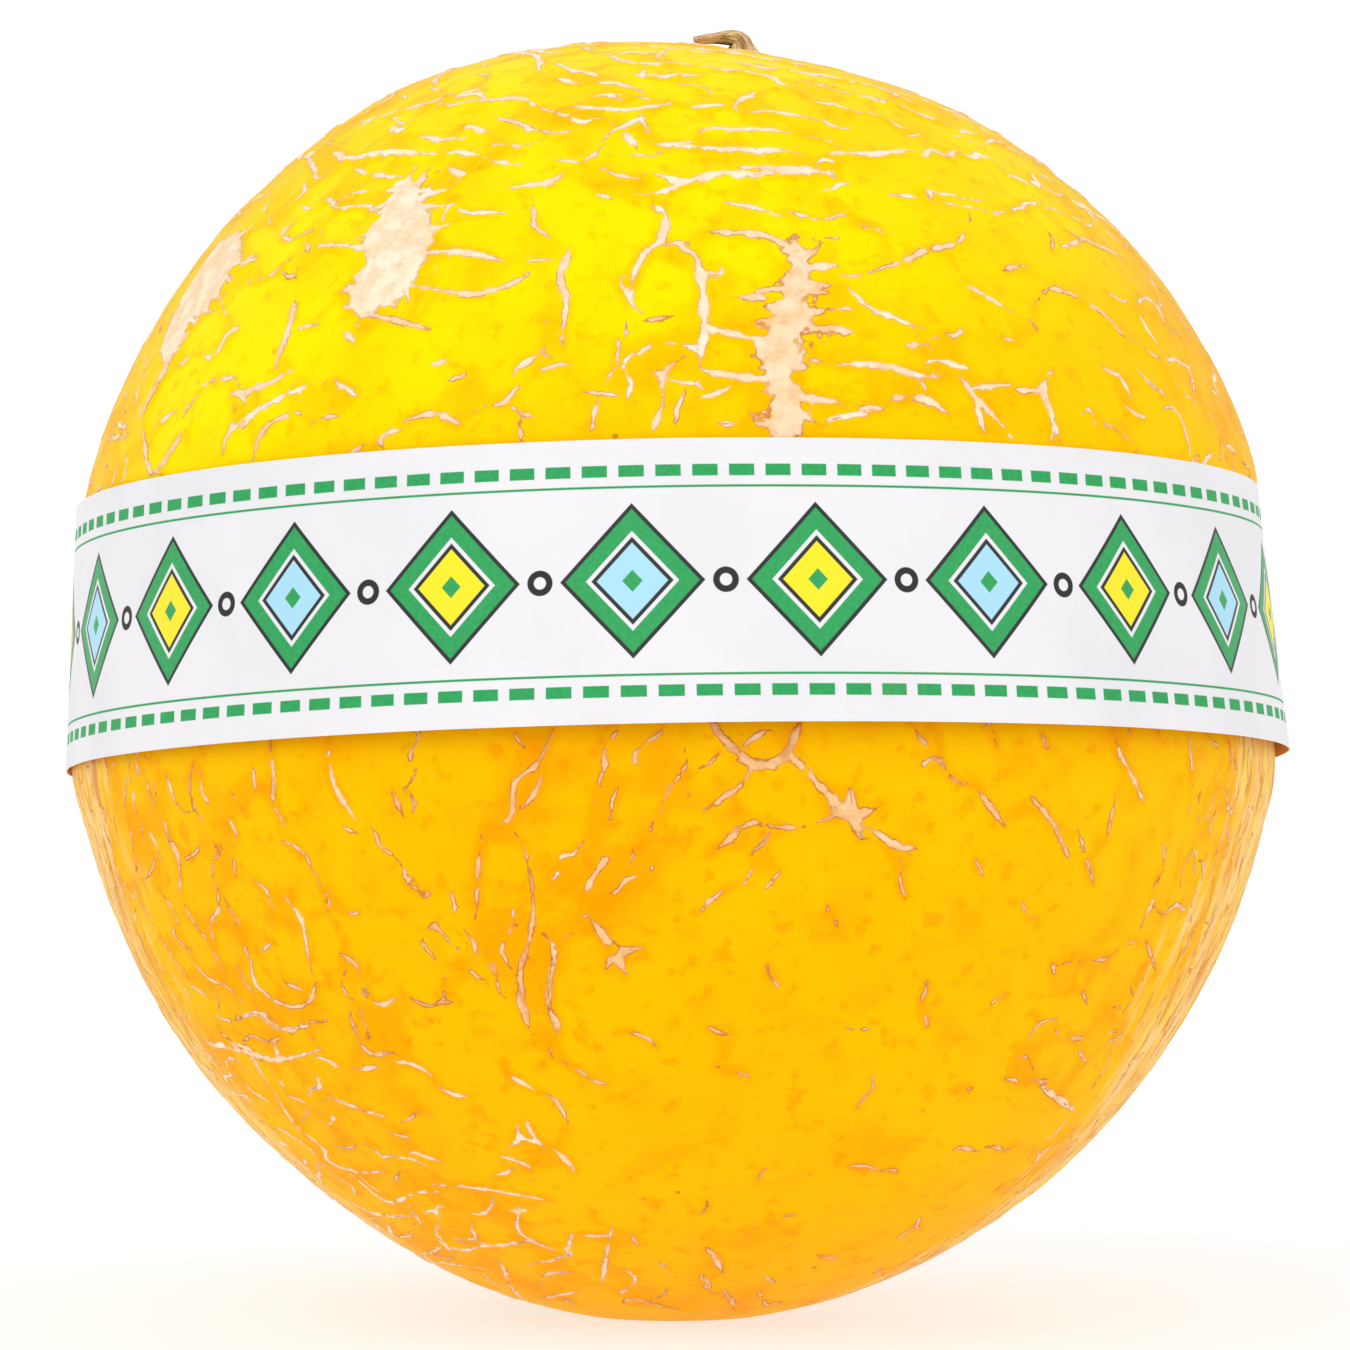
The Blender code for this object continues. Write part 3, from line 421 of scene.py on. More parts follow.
# The fine veins and hairline cracks seen in front, too small for the solid: half width in millimetres, then
# the turn and rise of each point on every way
FINE_VEINS = [
    # short dashes of the upper front
    (0.42, [
        [(-49, 50.5), (-44, 49.5), (-38.5, 49)], [(-45.5, 47), (-42.5, 47.5)],
        [(-49, 47), (-46.5, 45.5), (-43.5, 45.5), (-40, 45.5)], [(-28, 44), (-28, 45), (-27, 45.5)],
        [(-26.5, 44.5), (-24.5, 44), (-22.5, 44), (-21, 44)], [(-31, 50), (-28, 49)],
        [(-24.5, 50.5), (-20.5, 50)], [(-15.5, 50.5), (-12.5, 50)], [(-17, 45), (-16, 42), (-15, 41.5)],
        [(-9.5, 46), (-7.5, 45.5)], [(-17, 38.5), (-13.5, 38.5)], [(-35.5, 32), (-33.5, 30.5)],
        [(-24, 28), (-22.5, 28.5)], [(-22, 26.5), (-19.5, 27.5)], [(-15.5, 27), (-14.5, 28), (-13, 29)],
        [(-17.5, 24), (-16, 24.5), (-14.5, 26)], [(-15, 24), (-13, 23)], [(-12.5, 27.5), (-10, 28)],
        [(-8.5, 25.5), (-5.5, 25)], [(-7, 24.5), (-7.5, 22)], [(-34.5, 27), (-33, 26), (-31.5, 25.5)],
        [(-27.5, 22), (-26, 22)], [(-13.5, 32.5), (-12, 32)], [(-5.5, 30.5), (-5.5, 29)],
        [(-6, 27), (-5.5, 28)], [(3.5, 37), (5, 37), (5.5, 38)], [(5, 37), (6, 36.5)],
        [(7.5, 32), (9, 31.5)], [(-5, 27.5), (-4, 29)], [(-3.5, 29), (-2.5, 29.5), (-2, 30.5)],
        [(-3, 31.5), (-2, 32.5), (-0.5, 32.5)], [(-4.5, 27.5), (-4, 26), (-4.5, 24.5)],
        [(-2.5, 27.5), (-1, 27), (0.5, 28.5)], [(-1, 27), (-1, 25.5)], [(0, 26.5), (2, 26)],
        [(1, 25.5), (0, 22.5)], [(-1, 24), (-2, 22)], [(2.5, 25), (5, 25.5)], [(4, 22.5), (5.5, 22.5)],
        [(-5, 30.5), (-4.5, 32.5)], [(17, 41), (19.5, 41)], [(21, 42.5), (23, 42.5), (24.5, 41.5)],
        [(18, 37), (19.5, 37)], [(17, 33.5), (18.5, 33.5)], [(17.5, 24), (20, 24)],
        [(14.5, 23), (18, 23.5)], [(-5.5, 36.5), (-5, 35), (-3.5, 33)], [(6, 45), (9, 44.5), (12, 43.5)],
        [(14, 44), (17.5, 43), (21, 44)], [(-0.5, 40), (1.5, 40.5)], [(0.5, 40), (2.5, 38.5)],
        [(0, 30), (2, 29.5), (2.5, 29)],
    ]),
    # and of its right side
    (0.38, [
        [(47, 45.5), (50.5, 46.5), (54, 47)], [(42.5, 45), (44.5, 45)],
        [(51.5, 41.5), (55, 42), (57.5, 42.5)], [(38.5, 38), (40.5, 38.5), (43, 39)],
        [(32.5, 36), (33.5, 36), (35, 35), (36.5, 34)], [(57.5, 31), (59, 30), (61.5, 30), (66, 29.5)],
        [(39.5, 33), (40, 32)], [(60, 35), (64, 36.5), (66, 36), (67, 34.5)],
        [(60, 35), (60, 33), (60.5, 31.5)], [(27.5, 31), (29, 31), (30.5, 32)], [(29, 31), (28.5, 29.5)],
        [(35, 31), (37, 30.5)], [(23.5, 30), (25, 30)], [(25.5, 28.5), (27.5, 28.5), (29.5, 28)],
        [(24, 27), (24.5, 26)], [(38, 25), (38, 23), (37.5, 21.5)], [(42.5, 24), (43.5, 24.5), (44, 23)],
        [(47.5, 28.5), (50, 28), (50.5, 27), (50.5, 25.5)], [(49, 25), (50, 24.5), (52, 24)],
        [(53.5, 28.5), (55, 27.5), (57.5, 26)], [(46, 23), (48, 22), (48.5, 21.5)],
        [(55.5, 25), (58, 25), (59, 23.5), (58.5, 21)], [(61, 27), (63, 26)], [(37.5, 45.5), (40, 45.5)],
        [(39.5, 46.5), (42, 46.5)], [(35.5, 47), (38, 47)], [(27.5, 46.5), (29.5, 46.5), (32, 46)],
    ]),
    # and of its left side
    (0.4, [
        [(-60.5, 40), (-56.5, 40.5)], [(-54.5, 37.5), (-51.5, 37.5), (-49.5, 39)],
        [(-55.5, 30), (-54, 29.5)], [(-53.5, 27), (-51.5, 27.5), (-48.5, 27.5)],
        [(-48.5, 26), (-47, 26), (-45.5, 25)], [(-45.5, 26), (-45, 27)],
        [(-47, 23), (-45, 23), (-43.5, 24.5)], [(-46.5, 23), (-47, 21.5), (-47, 20.5)],
        [(-60, 23.5), (-58, 24.5)], [(-36, 23), (-34, 23.5), (-33, 23.5)], [(-53.5, 42.5), (-51, 42)],
        [(-49.5, 42.5), (-46.5, 43)], [(-47.5, 41.5), (-46, 40.5)], [(-54.5, 46), (-50.5, 45.5)],
        [(-50.5, 47), (-48.5, 46.5), (-46, 45.5)], [(-60, 53.5), (-55, 52.5), (-53, 52)],
        [(-48, 38), (-45.5, 37.5)], [(-42, 32), (-39, 32.5)], [(-70, 53.5), (-58, 50.5)],
        [(-75, 48), (-68, 48.5)], [(-74, 24), (-69, 23.5), (-67, 22)],
    ]),
    # level dashes near the top
    (0.48, [
        [(-65.5, 74), (-39.5, 71), (-29.5, 66)], [(-28, 68), (-22, 66), (-15, 64.5)],
        [(-19.5, 72), (-11.5, 68.5), (-5.5, 68), (0.5, 68.5)], [(-4.5, 70.5), (-2.5, 74.5)],
        [(-23, 64), (-18, 62.5)], [(-15.5, 63), (-10, 62.5), (-6, 61.5)], [(-13, 60.5), (-9.5, 60.5)],
        [(-41, 59.5), (-33, 60), (-26.5, 60), (-23, 58.5)], [(-17, 58.5), (-11, 58), (-6, 58), (-0.5, 59)],
        [(-28.5, 57), (-24.5, 56), (-21.5, 55)], [(-34, 56), (-27.5, 54.5)],
        [(-41, 54.5), (-36.5, 54), (-33, 54)], [(-27, 53), (-21.5, 52.5)], [(-33, 52), (-27.5, 51.5)],
        [(-31, 49.5), (-28, 49)], [(-9.5, 54), (-5.5, 56.5)], [(-7.5, 54.5), (-5, 52)],
        [(-6, 51), (-3, 51)], [(-2, 52.5), (2.5, 53)], [(10.5, 52), (16, 52)],
        [(4.5, 55), (9.5, 55), (16, 55)], [(11, 57.5), (16.5, 58), (23, 57)],
        [(8.5, 49.5), (13.5, 49.5), (19, 49.5)], [(-2.5, 46), (1, 47)], [(-7.5, 48.5), (-5.5, 48)],
        [(-12, 50.5), (-10, 52)],
    ]),
    # fine cracks of the lower left
    (0.3, [
        [(-60.5, -8.5), (-62, -11), (-62.5, -13.5), (-63, -15.5)],
        [(-59.5, -8.5), (-60, -11.5), (-59, -12.5), (-61, -14.5)], [(-56, -7), (-55, -9.5)],
        [(-53, -8), (-52, -10.5), (-51, -11.5)], [(-48.5, -7), (-49.5, -9.5)],
        [(-47.5, -8), (-47.5, -10), (-46, -11)], [(-43.5, -9.5), (-42.5, -11)],
        [(-40.5, -7), (-40.5, -9.5)], [(-49, -11.5), (-47.5, -13.5)], [(-44.5, -11), (-44, -14)],
        [(-45, -15.5), (-45.5, -17.5)], [(-38.5, -14), (-36.5, -14.5), (-35, -17)],
        [(-50, -15), (-52.5, -16)], [(-58, -16), (-61.5, -18)],
        [(-54, -14.5), (-54.5, -17.5), (-55.5, -20), (-54, -22.5), (-53, -24), (-52, -26.5)],
        [(-49, -20.5), (-51.5, -22), (-52, -24)], [(-43, -17.5), (-41.5, -19), (-41.5, -21.5)],
        [(-46, -25), (-42.5, -23.5)], [(-57, -26.5), (-55.5, -28), (-53, -28), (-51.5, -29.5)],
        [(-60.5, -28.5), (-58, -29.5)],
        [(-49.5, -31), (-47.5, -31), (-46.5, -32.5), (-44.5, -32.5), (-42, -32)],
        [(-59, -33.5), (-57, -35), (-53.5, -36)],
        [(-59, -19.5), (-57.5, -21.5), (-59.5, -23.5), (-57, -25)],
    ]),
    # cracks and dashes under the band
    (0.34, [
        [(-31, -12.5), (-29, -13.5)], [(-25.5, -9.5), (-25, -10.5), (-24.5, -11.5)],
        [(-14, -4.5), (-13, -5.5)], [(-11.5, -8), (-12, -9), (-13, -10.5)],
        [(-5, -4), (-6, -5.5), (-6, -7), (-6.5, -8.5)], [(-5, -9), (-5.5, -11.5)],
        [(-7, -11.5), (-7, -12.5)], [(-8.5, -14), (-9, -15), (-10, -15), (-10.5, -16.5), (-11.5, -17.5)],
        [(-15, -20), (-15, -21)], [(-11.5, -23), (-11.5, -25.5)],
        [(-16, -22.5), (-16.5, -24), (-16, -25.5)], [(-15, -25), (-15, -27)],
        [(-15.5, -27.5), (-15.5, -29), (-15, -31.5)], [(-12.5, -28.5), (-12.5, -30), (-11.5, -31.5)],
        [(-19.5, -22.5), (-19, -24.5)], [(-17.5, -26), (-17.5, -28)], [(-20.5, -25.5), (-19.5, -26.5)],
        [(-21, -24.5), (-21.5, -26)], [(-24.5, -22), (-23, -21.5), (-22, -23)],
        [(-22.5, -21), (-23, -21.5)], [(-21, -18.5), (-20.5, -20), (-21, -21)],
        [(-32, -29), (-31.5, -29.5), (-29.5, -29)],
        [(-27.5, -28.5), (-26, -29.5), (-23.5, -29), (-22, -29)], [(-31.5, -20.5), (-31, -20.5)],
        [(-9.5, -21), (-8, -20.5)], [(-10, -22.5), (-9.5, -22)], [(1.5, -4), (1, -5)],
        [(3.5, -6.5), (3, -7)], [(1, -7), (-0.5, -9.5)],
        [(-1.5, -11.5), (-2.5, -13.5), (-3.5, -14), (-4, -16)],
        [(-2, -16), (-2.5, -17), (-4, -17), (-5.5, -18.5)], [(4.5, -18), (2.5, -20)],
        [(7, -16.5), (6.5, -17.5)], [(9.5, -16.5), (8.5, -18)], [(5.5, -12.5), (5, -13.5)],
        [(8.5, -13), (8, -14), (7, -14.5)], [(6, -5.5), (6.5, -5), (8, -4)], [(21, -17), (22, -19)],
        [(18.5, -13), (20.5, -14.5), (22, -14.5)], [(28.5, -15.5), (29.5, -17)],
        [(29.5, -4.5), (29.5, -5.5)], [(34.5, -4.5), (35.5, -6), (36.5, -7)],
        [(21.5, -7.5), (23.5, -6.5), (25, -8), (25.5, -8.5)], [(56, -21.5), (58, -20.5), (61.5, -21.5)],
        [(50.5, -24), (53, -24)], [(40.5, -25.5), (41.5, -27)], [(46.5, -28.5), (48, -30)],
        [(51.5, -30.5), (54.5, -30.5)], [(41, -33), (42, -31.5), (44, -31.5)],
        [(44.5, -32.5), (47, -33.5), (50.5, -33.5)], [(55.5, -34.5), (58, -33.5)],
        [(40, -35), (42.5, -35.5)], [(50.5, -35), (53.5, -36.5)], [(40, -37.5), (43, -38)],
        [(45, -38), (47.5, -38)], [(33, -38.5), (36, -38.5)],
    ]),
    # fine net low on the left
    (0.36, [
        [(-55, -34), (-52, -33.5), (-50, -34), (-47.5, -33.5)], [(-64.5, -35), (-61.5, -35), (-59, -35)],
        [(-58.5, -33.5), (-56.5, -34.5), (-54.5, -35), (-53.5, -36)],
        [(-49, -34), (-49, -35), (-51, -36.5)], [(-55, -35), (-55, -36.5), (-55, -38), (-55, -39)],
        [(-52.5, -37), (-52, -38.5), (-52, -39.5)], [(-44, -36.5), (-45, -39), (-46.5, -39), (-48, -40)],
        [(-52.5, -40), (-51.5, -40.5), (-47, -41)], [(-53, -43), (-51, -42.5)],
        [(-48.5, -43.5), (-45.5, -42.5)], [(-38, -36.5), (-36.5, -36.5), (-34, -36)],
        [(-31.5, -35.5), (-30, -35.5), (-29, -36), (-28, -36.5)],
        [(-27, -38.5), (-25.5, -39), (-23.5, -39)],
        [(-49.5, -46.5), (-47, -46.5), (-44, -45.5), (-42.5, -46.5), (-42, -47.5), (-39.5, -47)],
        [(-38, -44), (-35, -44.5)], [(-36, -46.5), (-34, -47), (-32, -47.5)], [(-44, -51), (-41, -49.5)],
        [(-51.5, -50.5), (-50.5, -52), (-50, -53)], [(-46, -55), (-47, -56.5), (-48.5, -58.5)],
        [(-67, -54.5), (-64.5, -56), (-61, -57), (-54.5, -57), (-48.5, -56.5)],
        [(-60, -49.5), (-68, -52.5), (-69.5, -54.5)],
        [(-58.5, -50), (-58.5, -51.5), (-56.5, -52.5), (-62, -55)],
        [(-60.5, -59), (-66.5, -61), (-58, -60.5), (-50, -58)], [(-61.5, -59), (-76, -63.5)],
        [(-46, -59), (-48.5, -61), (-49, -62.5), (-47.5, -63.5)], [(-48.5, -62), (-43.5, -62), (-38, -61)],
        [(-36, -58), (-37.5, -60), (-37, -60.5)], [(-40.5, -60), (-37.5, -59.5)],
        [(-62, -63.5), (-71, -66), (-60, -65.5), (-48, -65.5)], [(-63, -64), (-51, -62)],
        [(-63.5, -44.5), (-61, -45.5), (-58.5, -47), (-58, -48.5)], [(-68.5, -47), (-64.5, -48)],
    ]),
    # dashes near the rest
    (0.4, [
        [(-13, -32.5), (-13, -34.5)], [(-18.5, -36), (-17.5, -37), (-16, -38)],
        [(-14, -39), (-13, -40), (-12.5, -42)], [(-22.5, -46.5), (-20.5, -47), (-19, -48)],
        [(-24.5, -49), (-22.5, -48.5)], [(-25.5, -54.5), (-23.5, -54.5)],
        [(-38, -61), (-32.5, -60.5), (-27, -59.5), (-24, -60)],
        [(-17, -58), (-19.5, -60.5), (-19.5, -61.5), (-31, -64)], [(-15, -58), (-11.5, -58)],
        [(-7, -57.5), (-6, -59.5)], [(-2.5, -62.5), (0.5, -65.5)],
        [(-9.5, -64.5), (-8.5, -66.5), (-14.5, -70)], [(-1.5, -68.5), (-4.5, -71)],
        [(5.5, -59.5), (7.5, -61.5), (10, -64.5)], [(5, -63.5), (7, -66.5), (9.5, -69.5)],
        [(12, -68.5), (16, -71.5), (22.5, -75.5)], [(22, -69.5), (33, -74.5)],
        [(-43.5, -72.5), (-30, -70.5), (-20, -68)], [(-34, -68.5), (-29.5, -66), (-21.5, -65)],
        [(-37.5, -64), (-42, -67), (-49.5, -71), (-61, -75)], [(17, -54.5), (18.5, -54.5)],
        [(27.5, -61.5), (32.5, -62)], [(20, -65.5), (24, -67.5)],
    ]),
]

# The three corky patches: their tone, then the share of the way along and the half width there in millimetres
PATCHES = [
    (0.15, [(0.0, 0.9), (0.36, 3.0), (0.52, 3.7), (0.67, 3.1), (0.83, 2.8), (0.94, 1.8), (1.0, 0.5)]),
    (0.22, [(0.0, 2.0), (0.15, 3.4), (0.30, 4.2), (0.45, 4.4), (0.60, 3.7), (0.80, 2.9), (1.0, 1.4)]),
    (0.40, [(0.0, 0.5), (0.32, 1.1), (0.56, 1.9), (0.78, 1.2), (0.94, 1.9), (1.0, 1.0)]),
]
FRAY_SHARE = 0.30
SPIKES_PER_STEP = 2.2
SPIKE_LENGTHS = (0.0007, 0.0024)
SPIKE_HALF_WIDTHS = (0.00045, 0.00028, 0.00012)
SPIKE_SLANT = 1.2

# The hairline veins between the others
HAIR_SEED = 77
HAIR_SPACING = 0.0047
HAIR_TRIES = 22000
HAIR_LENGTHS = (0.0016, 0.0070, 0.0030)
HAIR_HALF_WIDTHS = (0.00018, 0.00032)
CLOSEST_HAIRS = 0.0009
HAIR_SHARE = 0.9
FINE_SHARE = 0.85
WIDTH_OF_FULL_HEIGHT = 0.00080
HEIGHT_POWER = 1.3
DASH_LENGTHS = (0.0018, 0.0075, 0.0028)
DASH_WIDTHS = (0.72, 1.12)
DASH_SHARE_IN_FRONT = 0.55
DASH_CLEAR = 0.0013
TWIG_SHARE = 0.30
SIDE_TWIG_SLANT = 1.3
SIDE_TWIG_TAPER = (0.9, 0.3)
SEEN_TURN = 64.0
TOP_RISE = 42.0

# How unevenly the veins swell, pinch and stray from their ways
WAVES = 3
WAVE_PHASES = 6.28
WAVER_LENGTHS = (0.0016, 0.0048)
STRAY_LENGTHS = (0.0022, 0.0060)
WAVER = 0.12
DASH_WAVER = 0.11
PATCH_STRAY = 0.00030
DASH_STRAY = 0.00012
FINE_STRAY = 0.00008

# Where a vein is cracked open, and how unevenly its cork is toned
CRACK_RISE = 8
CRACKED_ABOVE = 0.06
CRACKED_BELOW = 0.36
CRACK_HALF_WIDTH = 0.00022
CRACK_FADE = 0.0002
CRACK_DEPTH = 0.25
TONE_SPREAD = 0.09
PLAIN_TONE = 0.4
FINE_CRUMBS = 0.6
FINE_CRUMB_SCALE = 2.3

# The spacing of the skin's corners
STATION_SPACING = 0.00070
PATCH_SPACING = 0.00048
FILL_SPACING = 0.0027
FOOT_OUT = 0.00022
SIDE_SHARE = 0.6
CLOSEST_CORNERS = 0.00016
FILL_CLEAR = 0.0014
HALO_REACH = 0.0030
WEB = 0.0005
# The area of a fill corner's own cell, against the square of its spacing, and the gap to the flat spot's rim
FILL_CELL = 0.866
RIM_CLEAR = 0.0003


def hair_spacing(turn, rise):
    """How far apart the hairline veins lie: widest in front, where the fine veins are listed."""
    if -66 < turn < -30 and rise < -18:
        return 0.9
    if abs(turn) < SEEN_TURN - 8:
        return 1.7 if rise < TOP_RISE else 1.0
    if abs(turn) < 98 and rise < 6:
        return 0.74
    return 0.9


def wavered(half_width, draw, swing):
    """Half widths that swell and pinch unevenly along the vein."""
    run = np.arange(len(half_width)) * WALK_STEP
    waves = 0.0
    for _ in range(WAVES):
        length = draw.uniform(*WAVER_LENGTHS)
        waves = waves + np.sin(2 * math.pi * run / length + draw.uniform(0, WAVE_PHASES))
    return half_width * (1 + swing * waves)


def strayed(way, draw, stray):
    """The way, moved unevenly to either side."""
    ahead = unit(np.gradient(way, axis=0))
    side = unit(np.cross(way, ahead))
    run = np.arange(len(way)) * WALK_STEP
    shift = 0.0
    for _ in range(WAVES):
        length = draw.uniform(*STRAY_LENGTHS)
        shift = shift + np.sin(2 * math.pi * run / length + draw.uniform(0, WAVE_PHASES))
    return unit(way + side * (stray * shift / MEAN_RADIUS)[:, None])


def twig_of(way, half_width, draw):
    """A short side twig of a vein, thinning to its tip."""
    place = draw.randrange(1, len(way) - 1)
    ahead = way[place + 1] - way[place - 1]
    side = unit(np.cross(way[place], ahead)) * draw.choice([-1, 1])
    slant = unit(side + unit(ahead) * draw.uniform(-SIDE_TWIG_SLANT, SIDE_TWIG_SLANT))
    steps = np.arange(draw.randrange(2, 4)) * WALK_STEP / MEAN_RADIUS
    twig = unit(way[place] + steps[:, None] * slant)
    return twig, half_width * np.linspace(*SIDE_TWIG_TAPER, len(twig))


def dashes(way, half_width, draw):
    """The dashes that a vein breaks up into, thin at their ends, and some with a side twig."""
    pieces = []
    start = 0
    while start < len(way) - 2:
        length = round(draw.triangular(*DASH_LENGTHS) / WALK_STEP)
        end = min(len(way), start + length + 1)
        if len(way) - end < 3:
            end = len(way)
        part = way[start:end]
        if len(part) > 2:
            thin = 0.3 + 0.7 * np.sin(math.pi * np.linspace(0.04, 0.96, len(part))) ** 0.7
            wide = np.max(half_width) * draw.uniform(*DASH_WIDTHS)
            pieces.append((strayed(part, draw, DASH_STRAY), wide * thin))
            if draw.random() < TWIG_SHARE and len(part) > 3:
                pieces.append(twig_of(part, wide, draw))
        start = end + draw.choice([0, 0, 1])
    return pieces


def net_style(turn, rise):
    """The veins' share of their full width and the tone of their cork: cream above and tan below."""
    if rise > 44:
        return 0.95, 0.10
    if rise > 4:
        return (0.62, 0.32) if abs(turn) > 62 else (0.80, 0.26)
    if turn < -28 and rise > -35:
        return 0.62, 0.50
    if turn < -10 and rise <= -35:
        return 0.60, 0.28
    if turn > 55:
        return 0.45, 0.50
    return 0.66, 0.62


def fine_veins():
    """The fine veins, as listed."""
    ways = [(smooth_path(corners, WALK_STEP), wide / 1000) for wide, group in FINE_VEINS for corners in group]
    return [(way, tapered(len(way), wide)) for way, wide in ways]


def patch_outline(way, outline):
    """Half widths along a corky patch."""
    shares, widths = zip(*outline)
    return np.interp(np.linspace(0, 1, len(way)), shares, widths) / 1000


def spikes(way, half_width, draw):
    """Short thin spikes of cork that fray the outline of a patch."""
    ahead = unit(np.gradient(way, axis=0))
    found = []
    for _ in range(round(len(way) * SPIKES_PER_STEP)):
        number = draw.randrange(0, len(way))
        side = unit(np.cross(way[number], ahead[number])) * draw.choice([-1, 1])
        slant = unit(side + ahead[number] * draw.uniform(-SPIKE_SLANT, SPIKE_SLANT))
        root = unit(way[number] + side * (half_width[number] - SPIKE_HALF_WIDTHS[0]) / MEAN_RADIUS)
        tip = unit(root + slant * draw.uniform(*SPIKE_LENGTHS) / MEAN_RADIUS)
        found.append((np.array([root, unit(root + tip), tip]), np.array(SPIKE_HALF_WIDTHS)))
    return found


def whole_net():
    """Every vein of the fruit: its way, half widths, height, tone of cork, and whether it is cracked open."""
    placed = main_veins()
    grown = grown_veins(
        placed, NET_SEED, VEIN_SPACING, VEIN_TRIES, VEIN_LENGTHS, VEIN_HALF_WIDTHS, CLOSEST_VEINS, net_spacing
    )
    fine = fine_veins()
    hairs = grown_veins(
        placed + grown + fine,
        HAIR_SEED,
        HAIR_SPACING,
        HAIR_TRIES,
        HAIR_LENGTHS,
        HAIR_HALF_WIDTHS,
        CLOSEST_HAIRS,
        hair_spacing,
    )
    draw = random.Random(HAIR_SEED)
    patches = iter(PATCHES)
    veins = []
    for way, half_width in placed:
        patch = np.max(half_width) > PATCH_HALF_WIDTH
        twig = len(way) < 4
        if twig and draw.random() > FRAY_SHARE:
            continue
        if patch:
            patch_tone, outline = next(patches)
            half_width = wavered(patch_outline(way, outline), draw, WAVER)
            way = strayed(way, draw, PATCH_STRAY)
            veins.append((way, half_width, 1.0, patch_tone))
            veins += [(spike, wide, 1.0, patch_tone) for spike, wide in spikes(way, half_width, draw)]
        else:
            share = net_style(*turn_and_rise(way[len(way) // 2]))[0]
            veins.append((way, wavered(half_width, draw, WAVER), share, patch_tone if twig else None))
    taken = np.concatenate([way for way, _ in fine])
    for way, half_width in grown:
        for part, wide in dashes(way, half_width, draw):
            middle = part[len(part) // 2]
            turn, rise = turn_and_rise(middle)
            apart = np.min(np.linalg.norm(taken - middle, axis=1)) * MEAN_RADIUS
            kept = DASH_SHARE_IN_FRONT if rise < TOP_RISE else 1.0
            if abs(turn) < SEEN_TURN and (apart < DASH_CLEAR or draw.random() > kept):
                continue
            veins.append((part, wavered(wide, draw, DASH_WAVER), net_style(turn, rise)[0], None))
    for way, wide in fine:
        veins.append((strayed(way, draw, FINE_STRAY), wavered(wide, draw, WAVER), FINE_SHARE, None))
    for way, half_width in hairs:
        veins.append((way, wavered(half_width, draw, WAVER), HAIR_SHARE, None))
    net = []
    for way, half_width, share, tone in veins:
        half_width = half_width * share
        height = NET_HEIGHT * min(1.0, np.max(half_width) / WIDTH_OF_FULL_HEIGHT) ** HEIGHT_POWER
        turn, rise = turn_and_rise(unit(way.mean(axis=0)))
        can_crack = tone is None and np.max(half_width) > HAIR_HALF_WIDTHS[1]
        if tone is None:
            tone = draw.gauss(net_style(turn, rise)[1], TONE_SPREAD)
        cracked = can_crack and draw.random() < (CRACKED_ABOVE if rise > CRACK_RISE else CRACKED_BELOW)
        net.append((way, half_width, height, tone, cracked))
    return net


def net_relief(directions, net):
    """At each direction: height above the rind, depth inside the net and its webs, tone and crack."""
    order = np.argsort(directions[:, 2])
    levels = directions[order, 2]
    height = np.zeros(len(directions))
    inside = np.full(len(directions), -HALO_REACH)
    tone = np.full(len(directions), PLAIN_TONE)
    crack = np.zeros(len(directions))
    crumbs = crumb_pattern(directions)
    crumbs = crumbs + FINE_CRUMBS * crumb_pattern(directions[:, [2, 0, 1]] * FINE_CRUMB_SCALE)
    for way, half_width, full_height, shade, cracked in net:
        middle = unit(way.mean(axis=0))
        reach = np.max(np.linalg.norm(way - middle, axis=1)) + (np.max(half_width) + HALO_REACH) / MEAN_RADIUS
        low, high = np.searchsorted(levels, (middle[2] - reach, middle[2] + reach))
        near = order[low:high]
        near = near[np.linalg.norm(directions[near] - middle, axis=1) < reach]
        if len(near) == 0:
            continue
        start = way[:-1]
        run = way[1:] - start
        offset = directions[near][:, None, :] - start[None]
        part = np.clip((offset * run).sum(axis=2) / (run * run).sum(axis=1), 0, 1)
        gap = np.linalg.norm(offset - part[..., None] * run, axis=2) * MEAN_RADIUS
        wide = half_width[:-1] + part * (half_width[1:] - half_width[:-1])
        depth = np.max(wide - gap, axis=1)
        rise = np.clip(depth / NET_SLOPE, 0, 1)
        crest = full_height * rise * (2 - rise)
        roughness = PATCH_ROUGHNESS * np.clip((depth - NET_SLOPE) / NET_SLOPE, 0, 1)
        crest = crest + roughness * crumbs[near]
        if cracked:
            split = np.clip(1 - np.min(gap, axis=1) / CRACK_HALF_WIDTH, 0, 1)
            split = split * np.clip(depth / CRACK_FADE, 0, 1)
            crest = crest - CRACK_DEPTH * full_height * split
            crack[near] = np.maximum(crack[near], split)
        height[near] = np.maximum(height[near], crest)
        closer = depth > inside[near]
        tone[near[closer]] = shade
        overlap = np.clip(1 - np.abs(depth - inside[near]) / WEB, 0, 1)
        inside[near] = np.maximum(inside[near], depth) + overlap**2 * WEB / 4
    return height, inside, tone, crack


def rind_point(directions, above):
    """Points on the fruit, with its centre at the origin, a given height above the rind."""
    angle = np.arccos(np.clip(-directions[:, 2], -1, 1))
    fade = np.clip((angle - REST_ANGLE) / math.radians(REST_FADE), 0, 1)
    points = directions * (rind_radius(directions) + above * fade)[:, None]
    points[:, 2] = np.maximum(points[:, 2], -CENTRE_HEIGHT)
    return points


